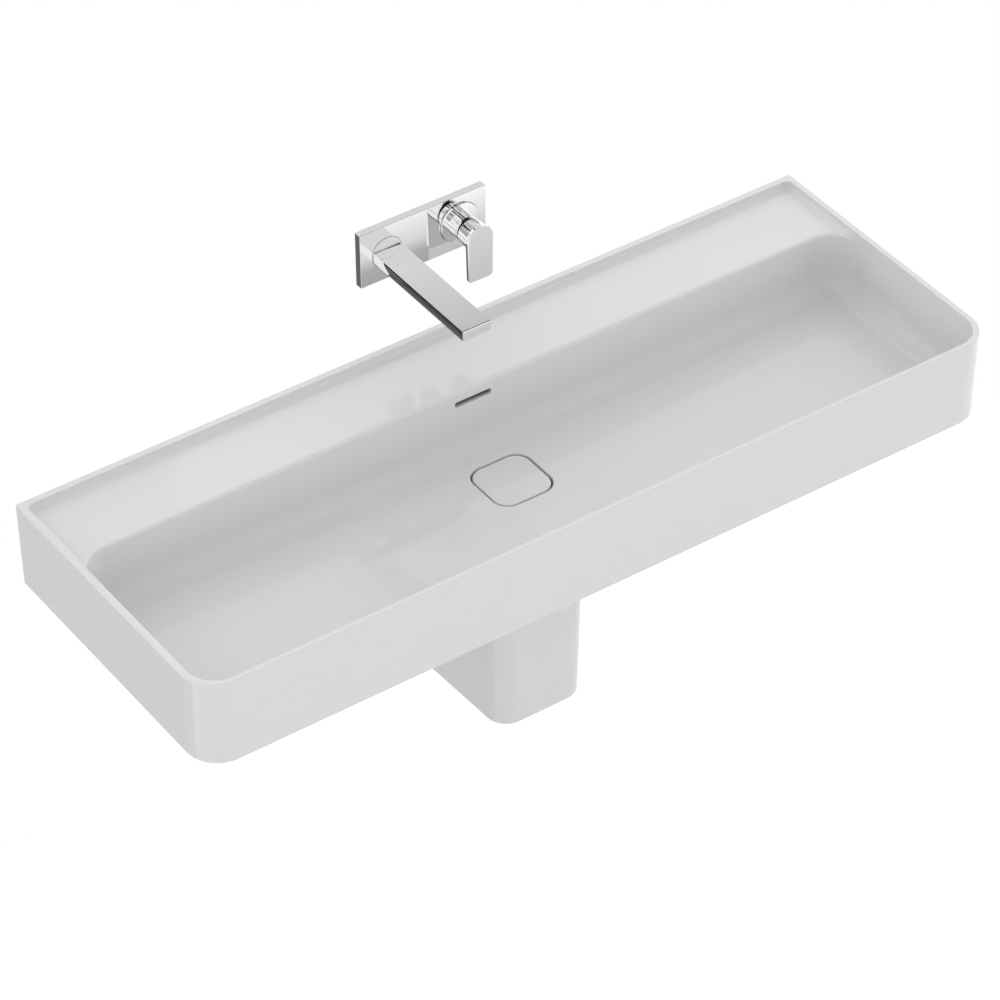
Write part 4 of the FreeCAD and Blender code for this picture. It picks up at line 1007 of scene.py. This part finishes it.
    def root_fillet(self) -> Mesh:
        """Concave round where the bar's top meets the root: low at one end, high at the other.

        Returns:
            The closed body.
        """
        top = self.level + self.bar_top
        front = -self.root_front
        (out, up), (out_end, up_end) = self.fillet_start, self.fillet_end
        half = math.sqrt(self.root_radius ** 2 - (self.bar_top + up_end) ** 2) - 4 * self.play
        places = [(front + self.bed, top - self.bed), (front + self.bed, top + up)]
        for step in range(self.fillet_steps + 1):
            angle = QUARTER_TURN * step / self.fillet_steps
            places.append((front - out * (1 - math.cos(angle)), top + up * (1 - math.sin(angle))))
        places.append((front - out, top - self.bed))
        mesh = bmesh.new()
        face = mesh.faces.new([mesh.verts.new((self.spout_x - half, y, z)) for y, z in places])
        grown = bmesh.ops.extrude_face_region(mesh, geom=[face])
        for item in grown["geom"]:
            if isinstance(item, bmesh.types.BMVert):
                item.co = Vector((self.spout_x + half, front + (item.co.y - front) * out_end / out,
                                  top + (item.co.z - top) * up_end / up))
        return mesh

    def spout(self) -> None:
        """Build the spout: a round root that turns into a flat bar."""
        top = self.level + self.bar_top
        radius, front, edge = self.root_radius, self.root_front, self.root_edge
        root = self.round_body(((0.0, self.root_back), (radius, self.root_back),
                                (radius, front - edge), (radius - edge, front), (0.0, front)),
                               self.spout_x)
        start, end = front - 2 * self.bed, front + self.blend_length
        blend = self.round_body(((0.0, start), (radius - 2 * edge, start),
                                 (self.bar_thickness - self.bar_top, end), (0.0, end)),
                                self.spout_x)
        cut = slice_flat(blend, (0, 0, top - self.blend_under), UP, drop=True)
        bmesh.ops.contextual_create(blend, geom=cut)
        below = top - self.bar_thickness - 2 * self.bed
        outlet = new_turning(rod(self.outlet_radius, 0.0, self.outlet_depth + 2 * self.bed),
                             (self.spout_x, self.outlet_y, below), UP, self.outlet_steps)
        piece = as_object(self.spout_bar(), "spout_arm")
        combine(piece, Join.ADD, root, blend, self.root_fillet())
        combine(piece, Join.CUT, outlet)
        settle(piece, Body.FIXED, CHROME, 24.0, "spout")

    def painted_shade_rings(self) -> None:
        """Build thin black rings in the gaps round the spout's root and the escutcheon: painted
        shade of these gaps.
        """
        back = self.plate_front - self.ring_depth
        play = self.play
        for name, x, inner, outer, front in (
                ("spout_root_shade_ring", self.spout_x, self.root_radius - 3 * play,
                 self.root_radius + self.ring_gap + 2 * play, self.plate_front - 3 * play),
                ("escutcheon_shade_ring", self.lever_x, self.escutcheon - self.ring_lap,
                 self.escutcheon + self.ring_gap, self.plate_front + play)):
            profile = ((inner, back), (outer, back), (outer, front - play),
                       (outer - play, front), (inner, front))
            ring = as_object(self.round_body(profile, x), name)
            # Painted shade: the black finish stands for the shadow in the gap
            settle(ring, Body.FIXED, BLACK_RUBBER, 34.0)

    def sleeve(self) -> None:
        """Build the sleeve with its round escutcheon."""
        play = self.play
        back, front, radius = self.plate_front, self.sleeve_front, self.sleeve_radius
        face = back + self.escutcheon_depth
        wide = self.escutcheon
        bore = self.nose_radius + play
        edge, steps = self.sleeve_edge
        turns = [QUARTER_TURN * step / steps for step in range(steps + 1)]
        rounded = [(radius - edge * (1 - math.cos(turn)), front - edge * (1 - math.sin(turn)))
                   for turn in turns]
        profile = ((bore, back), (wide - 4 * play, back), (wide, back + 4 * play),
                   (wide, face - 8 * play), (wide - 3 * play, face - 2 * play),
                   (wide - 8 * play, face), (radius + 6 * play, face),
                   (radius + play, face + 3 * play), (radius, face + 8 * play), *rounded,
                   (self.lip_radius, front), (self.lip_radius, front - self.sleeve_lip),
                   (bore, front - self.sleeve_lip))
        piece = as_object(self.round_body(profile, self.lever_x), "handle_sleeve_trim")
        settle(piece, Body.FIXED, CHROME, 34.0, "handle_sleeve")

    def gap_shade_strip(self, name: str, near: float, far: float, body: Body) -> None:
        """Build a short black strip over the rounded edge beside the gap, on its top: painted shade
        of the gap.

        Args:
            name: The strip's name.
            near: Where it starts, at the gap.
            far: Where it ends.
            body: The body that carries it.
        """
        outer = self.sleeve_radius
        profile = ((outer - self.sleeve_edge.reach, near), (outer, far),
                   (outer + self.play, far), (outer + self.play, near))
        mesh = self.round_body(profile, self.lever_x)
        for angle, side in ((self.shade_from, -1.0), (self.shade_to, 1.0)):
            turn = math.radians(angle)
            cut = slice_flat(mesh, (self.lever_x, 0.0, self.level),
                             (-side * math.sin(turn), 0.0, side * math.cos(turn)), drop=True)
            bmesh.ops.holes_fill(mesh, edges=cut, sides=0)
        settle(as_object(mesh, name), body, BLACK_RUBBER, 34.0)

    def paddle(self) -> Mesh:
        """Front plate of the lever, round on top and tapering to its foot.

        Returns:
            The closed body.
        """
        foot = self.level - self.paddle_drop
        mesh = new_box(self.head_radius, (-self.paddle_front,
                                          self.paddle_thickness - self.paddle_front),
                       (foot, self.level), self.lever_x)
        for vert in mesh.verts:
            if vert.co.z < foot + HAIR:
                side = math.copysign(self.paddle_half, vert.co.x - self.lever_x)
                vert.co.x = self.lever_x + side
        round_where(mesh, lambda a, b: along_y(a, b) and a.z < foot + HAIR,
                    self.paddle_corner)
        return mesh

    def flatten_shoulders(self, head: Mesh, back: float) -> None:
        """Flatten the head a little beside its top, most of all next to the paddle.

        Args:
            head: The head, still a plain cone.
            back: Where the paddle's back is.
        """
        for vert in head.verts:
            rise = vert.co.z - self.level
            aside = abs(vert.co.x - self.lever_x)
            if vert.co.y > HAIR - back or math.hypot(aside, rise) < self.sleeve_radius / 2:
                continue
            turn = math.degrees(math.atan2(aside, rise))
            near = max(0.0, 1.0 - abs(turn - self.shoulder_turn) / self.shoulder_width)
            share = 1.0 - self.shoulder_cut * near * near * (3 - 2 * near)
            vert.co.x = self.lever_x + (vert.co.x - self.lever_x) * share
            vert.co.z = self.level + rise * share

    def head(self, back: float) -> Mesh:
        """Head of the lever: a cone with a slanted, rounded back.

        Args:
            back: Where the paddle's back is.

        Returns:
            The closed body.
        """
        start, end = self.sleeve_front, back + self.bed
        mesh = self.round_body(((0.0, start), (self.sleeve_radius, start),
                                (self.head_radius - self.play, end), (0.0, end)),
                               self.lever_x)
        self.flatten_shoulders(mesh, back)
        slope = (self.gap_top - self.gap_bottom) / (2 * self.sleeve_radius)
        middle = start + (self.gap_top + self.gap_bottom) / 2
        cut = slice_flat(mesh, (self.lever_x, -middle, self.level), (0, 1, slope), drop=True)
        bmesh.ops.contextual_create(mesh, geom=cut)
        rim = edges_where(mesh, lambda a, b: min(a.y, b.y) > -back)
        round_edges(mesh, [edge for edge in rim if edge.calc_face_angle(0.0) > self.sharp],
                    self.head_edge)
        return mesh

    def lever(self) -> None:
        """Build the lever: a round head, the flat paddle, and the hub on its stem."""
        back = self.paddle_front - self.paddle_thickness
        crown = self.round_body(rod(self.head_radius, back, self.paddle_front), self.lever_x)
        cavity = self.round_body(rod(self.cavity_radius, self.cavity_back, self.cavity_front),
                                 self.lever_x, self.bore_steps)
        hub = self.round_body(rod(self.hub_radius, self.hub_back,
                                  self.cavity_front + 2 * self.bed),
                              self.lever_x, self.hub_steps)
        stem = new_box(self.stem_half, self.stem_depth,
                       (self.level - self.stem_half, self.level + self.stem_half),
                       self.lever_x)
        piece = as_object(self.paddle(), "lever_handle")
        combine(piece, Join.ADD, crown)
        soften(piece, lambda a, b: max(a.y, b.y) < HAIR - self.paddle_front, self.paddle_edge)
        combine(piece, Join.ADD, self.head(back))
        combine(piece, Join.CUT, cavity)
        combine(piece, Join.ADD, hub)
        combine(piece, Join.CUT, stem)
        settle(piece, Body.LEVER, CHROME, 28.0, "lever")

    def build(self) -> None:
        """Build the mixer's visible trim."""
        self.plate()
        self.spout()
        self.sleeve()
        self.lever()
        front, edge = self.sleeve_front, self.sleeve_edge.reach
        back = front + self.gap_top
        # Black strips over the sleeve's and the head's edges paint the shade of the gap between them
        self.gap_shade_strip("sleeve_gap_shade_strip", front, front - edge, Body.FIXED)
        self.gap_shade_strip("lever_gap_shade_strip", back, back + edge, Body.LEVER)
        # Black rings paint the shade in the gaps round the spout's root and the escutcheon
        self.painted_shade_rings()


class CadNodes:
    """The CAD nodes whose shape stays: each gets the finish of its slot."""

    def dress(self) -> None:
        """Give every shown CAD node its procedural material."""
        record = frame["record"]
        slots = {part["node"]: part["material_slot"] for part in record["subparts"]}
        for name, node in frame["nodes"].items():
            if node.hide_render:
                continue
            finish = FINISH_OF_SLOT[slots[name]]
            node.data.materials.clear()
            node.data.materials.append(finish.material())
            LOG.info("%s keeps its CAD shape in %s", name, finish.name)


# Studio


class StageMaterial(NodeBoard):
    """A material of the studio, with nothing but its output to start from."""

    def __init__(self, name: str) -> None:
        """Start the material."""
        self.material = bpy.data.materials.new("stage_" + name)
        self.material.use_nodes = True
        super().__init__(self.material.node_tree)
        self.tree.nodes.remove(self.tree.nodes["Principled BSDF"])

    def finish(self, surface: Socket) -> bpy.types.Material:
        """Lead a shader to the output and hand the material over."""
        self.feed(self.tree.nodes["Material Output"], {"Surface": surface})
        return self.material


@dataclass(frozen=True)
class Panel:
    """A flat stage surface, level or upright, by its extent along each axis.

    A leaning one is shifted sideways by so much for each metre towards the room.
    """

    name: str
    x: Span
    y: Span
    z: Span
    lean: float = 0.0
    faces_back: bool = False

    def build(self, material: bpy.types.Material) -> Piece:
        """Build the surface.

        Args:
            material: What it is made of.

        Returns:
            The stage object.
        """
        low, high = map(Vector, zip(self.x, self.y, self.z))
        size = high - low
        if size.z > size.y:
            shape = Matrix.Diagonal((size.x, 1.0, size.z, 1.0)) @ Matrix.Rotation(
                QUARTER_TURN, 4, "X")
        else:
            shape = Matrix.Diagonal((size.x, size.y, 1.0, 1.0))
        mesh = bmesh.new()
        bmesh.ops.create_grid(mesh, x_segments=1, y_segments=1, size=0.5)
        bmesh.ops.transform(mesh, matrix=Matrix.Translation((high + low) / 2) @ shape,
                            verts=mesh.verts)
        for vert in mesh.verts:
            vert.co.x -= self.lean * vert.co.y
        if self.faces_back:
            bmesh.ops.reverse_faces(mesh, faces=mesh.faces)
        made = link_mesh(mesh, self.name)
        made.data.materials.append(material)
        return made


@dataclass(frozen=True)
class Card(Panel):
    """A card that only sharp reflections see, and only on its front."""

    glow: float = 1.0
    end_glow: float | None = None

    def change(self) -> tuple[str, Span]:
        """Axis along which the glow changes, and the card's extent along it.

        Returns:
            Z for an upright card, Y for a leaning one, otherwise X, with the extent.
        """
        if self.z[0] != self.z[1]:
            return "Z", self.z
        return ("Y", self.y) if self.lean else ("X", self.x)

    def material(self) -> bpy.types.Material:
        """Glow that changes evenly along the card and is clear from behind.

        Returns:
            The material.
        """
        board = StageMaterial(self.name)
        axis, (low, high) = self.change()
        split = board.add("SeparateXYZ", {0: board.add("TexCoord").outputs["Object"]})
        level = board.out("MapRange", {"Value": split.outputs[axis],
                                       "From Min": low, "From Max": high,
                                       "To Min": self.glow,
                                       "To Max": self.end_glow or self.glow})
        return board.finish(board.mix(board.add("NewGeometry").outputs["Backfacing"],
                                      board.out("Emission", {"Strength": level}),
                                      board.out("BsdfTransparent")))

    def place(self) -> None:
        """Put the card into the scene, hidden from all but glossy rays."""
        made = self.build(self.material())
        made.visible_camera = False
        made.visible_diffuse = False
        made.visible_transmission = False
        made.visible_volume_scatter = False
        made.visible_shadow = False


# Heights of the level cards, places of the upright ones, and the lean of some
DESK = (0.085, 0.085)
CEILING = (3.0, 3.0)
HIGH_CEILING = (3.3, 3.3)
BEHIND = (0.30, 0.30)
FAR_BEHIND = (2.0, 2.0)
BEFORE = (-2.0, -2.0)
LEAN = 0.6866
PLATE_Y = (-0.30, -0.11)

# What the mixer mirrors beside it, under it and behind it, facing up or into the room
FRONT_CARDS = (
    Card("card_side_root", (-0.45, -0.246), (0.12, 0.30), DESK, glow=0.0),
    Card("card_side_tip", (-0.45, -0.235), (-0.10, 0.12), DESK, glow=0.05),
    Card("card_side_plate", (-0.246, 0.08), (0.115, 0.30), DESK, glow=0.135),
    Card("card_side", (-0.235, -0.12), (-0.10, 0.115), DESK, glow=0.05, end_glow=0.15),
    Card("card_side_near", (-0.12, 0.08), (-0.10, 0.115), DESK, glow=0.15, end_glow=0.17),
    Card("card_lever_back", (0.08, 0.45), (-0.10, 0.25), DESK, glow=0.50),
    Card("card_white_left", (-0.45, -0.13), PLATE_Y, DESK, LEAN),
    Card("card_plate_left", (-0.13, -0.005), (-0.30, -0.192), DESK, LEAN, glow=1.25, end_glow=0.735),
    Card("card_plate_low", (-0.13, -0.005), (-0.192, -0.168), DESK, LEAN, glow=0.735, end_glow=0.45),
    Card("card_plate_foot", (-0.13, -0.005), (-0.168, -0.11), DESK, LEAN, glow=0.45, end_glow=0.36),
    Card("card_paddle", (-0.005, 0.034), PLATE_Y, DESK, LEAN, glow=0.77, end_glow=0.54),
    Card("card_plate_right", (0.034, 0.13), PLATE_Y, DESK, LEAN, glow=1.36, end_glow=0.36),
    Card("card_back_root", (0.08, 0.38), BEHIND, (0.50, 0.566), glow=0.67, end_glow=0.74),
    Card("card_back_tip", (0.08, 0.38), BEHIND, (0.566, 0.76), glow=0.74, end_glow=0.54),
    Card("card_shoulder", (-1.20, -0.88), FAR_BEHIND, (1.3, 1.88), glow=0.01),
    Card("card_head", (-0.88, 0.75), FAR_BEHIND, (1.3, 2.2), glow=0.50),
    Card("card_under", (-1.5, -0.1), (-0.25, 0.95), (-0.47, -0.47), glow=0.25),
)

# What it mirrors before it and above it: name, extents along X, Y and Z, and the glow
# at either end. These face the wall or the floor.
BACK_CARDS = tuple(Card(*row[:4], 0.0, True, *row[4:]) for row in (
    ("card_front_far", (-1.15, -0.5), BEFORE, (1.5, 1.92), 0.52),
    ("card_front_left", (-0.5, 0.9), BEFORE, (1.5, 2.15), 0.52),
    ("card_front_middle", (0.9, 1.4), BEFORE, (1.5, 1.85), 0.52),
    ("card_front_right", (1.4, 3.6), BEFORE, (1.0, 1.85), 0.52),
    ("card_front_high", (0.9, 3.6), BEFORE, (1.85, 3.0), 0.81),
    ("card_shoulder_front", (-1.20, -0.88), (-1.98, -1.98), (1.3, 1.88), 0.01),
    ("card_before", (-6.0, 6.0), (-6.0, -6.0), (0.6, 6.0), 0.30, 0.85),
    ("card_seam", (-0.50, 0.0), (-3.0, 3.0), CEILING, 0.01),
    ("card_over", (0.9, 2.1), (-2.1, 1.2), CEILING, 0.02),
    ("card_fillet", (0.3, 3.6), (-4.5, 1.2), HIGH_CEILING, 0.15),
))


@dataclass
class Studio:
    """Floor, wall, light and camera around the object."""

    floor_level: float = -0.50
    reach: float = 9.0
    wall_y: float = 0.0004
    wall_height: float = 6.0
    floor_matt: float = 0.76
    floor_trace: float = 0.38
    floor_glow: float = 0.78
    even_light: float = 1.74
    light_from: Point = (0.17, 0.30, -0.92)
    camera_place: Point = (-2.64528, -4.02149, 3.78292)
    yaw: float = 34.546
    pitch: float = 39.619
    roll: float = -0.511
    lens: float = 169.94
    sensor: float = 36.0
    sight: float = 100.0

    def seen_directly(self, board: NodeBoard) -> Socket:
        """Tell whether the camera, a reflection or clear glass looks here.

        Args:
            board: Where the nodes are placed.

        Returns:
            An output that is one for such a look and otherwise zero.
        """
        ray = board.add("LightPath").outputs
        seen = board.math("MAXIMUM", ray["Is Camera Ray"], ray["Is Glossy Ray"])
        return board.math("MAXIMUM", seen, ray["Is Transmission Ray"])

    def floor(self) -> None:
        """Pale floor, white to look at, with a trace of shadow, and clear from below."""
        board = StageMaterial("floor")
        matt, trace = (board.out("BsdfDiffuse", {"Color": (grey, grey, grey, 1.0)})
                       for grey in (self.floor_matt, self.floor_trace))
        glow = board.out("Emission", {"Strength": self.floor_glow})
        white = board.out("AddShader", {0: trace, 1: glow})
        top = board.mix(self.seen_directly(board), matt, white)
        from_below = board.math("MULTIPLY", board.add("NewGeometry").outputs["Backfacing"],
                                board.add("LightPath").outputs["Is Camera Ray"])
        material = board.finish(board.mix(from_below, top, board.out("BsdfTransparent")))
        wide = (-self.reach, self.reach)
        Panel("floor", wide, wide, (self.floor_level, self.floor_level)).build(material)

    def wall(self) -> None:
        """White wall face that only the camera sees, and only from the room."""
        board = StageMaterial("wall")
        glow = board.out("Emission", {"Strength": 1.0})
        front = board.math("SUBTRACT", 1.0, board.add("NewGeometry").outputs["Backfacing"])
        shown = board.math("MULTIPLY", front, board.add("LightPath").outputs["Is Camera Ray"])
        material = board.finish(board.mix(shown, board.out("BsdfTransparent"), glow))
        Panel("wall", (-self.reach, self.reach), (self.wall_y, self.wall_y),
              (self.floor_level, self.floor_level + self.wall_height)).build(material)

    def sky(self) -> None:
        """Soft sky whose light changes slowly with direction, seen as plain white."""
        world = bpy.data.worlds.new("studio")
        bpy.context.scene.world = world
        world.use_nodes = True
        board = NodeBoard(world.node_tree)
        split = board.add("SeparateXYZ", {0: board.add("TexCoord").outputs["Generated"]})
        level = self.even_light
        for axis, weight in zip("XYZ", self.light_from):
            level = board.math("MULTIPLY_ADD", split.outputs[axis], weight, level)
        soft = board.tree.nodes["Background"]
        board.feed(soft, {"Color": WHITE, "Strength": board.math("MAXIMUM", level, 0.0)})
        white = board.out("Background", {"Color": WHITE, "Strength": 1.0})
        surface = board.mix(self.seen_directly(board), soft.outputs[0], white)
        board.feed(board.tree.nodes["World Output"], {"Surface": surface})

    def camera(self) -> None:
        """Camera at the photograph's viewing angle."""
        data = bpy.data.cameras.new("camera")
        data.lens = self.lens
        data.sensor_width = self.sensor
        data.clip_end = self.sight
        made = bpy.data.objects.new("camera", data)
        made.matrix_world = Matrix.Translation(self.camera_place)
        for angle, axis in ((-self.yaw, "Z"), (90 - self.pitch, "X"), (self.roll, "Z")):
            made.matrix_world @= Matrix.Rotation(math.radians(angle), 4, axis)
        bpy.context.scene.collection.objects.link(made)
        bpy.context.scene.camera = made

    def build(self) -> None:
        """Set up the whole studio."""
        self.floor()
        self.wall()
        self.sky()
        for card in FRONT_CARDS + BACK_CARDS:
            card.place()
        self.camera()
        bpy.context.scene.view_settings.view_transform = "Standard"
        LOG.info("studio: floor at %.2f m", self.floor_level)


def main() -> None:
    """Build every sub-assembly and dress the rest."""
    logging.basicConfig(level=logging.INFO, format="%(name)s: %(message)s")
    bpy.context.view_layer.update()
    Basin().build()
    WasteCover().build()
    HalfPedestal().build()
    Mixer().build()
    CadNodes().dress()
    Studio().build()


if __name__ == "__main__":
    main()
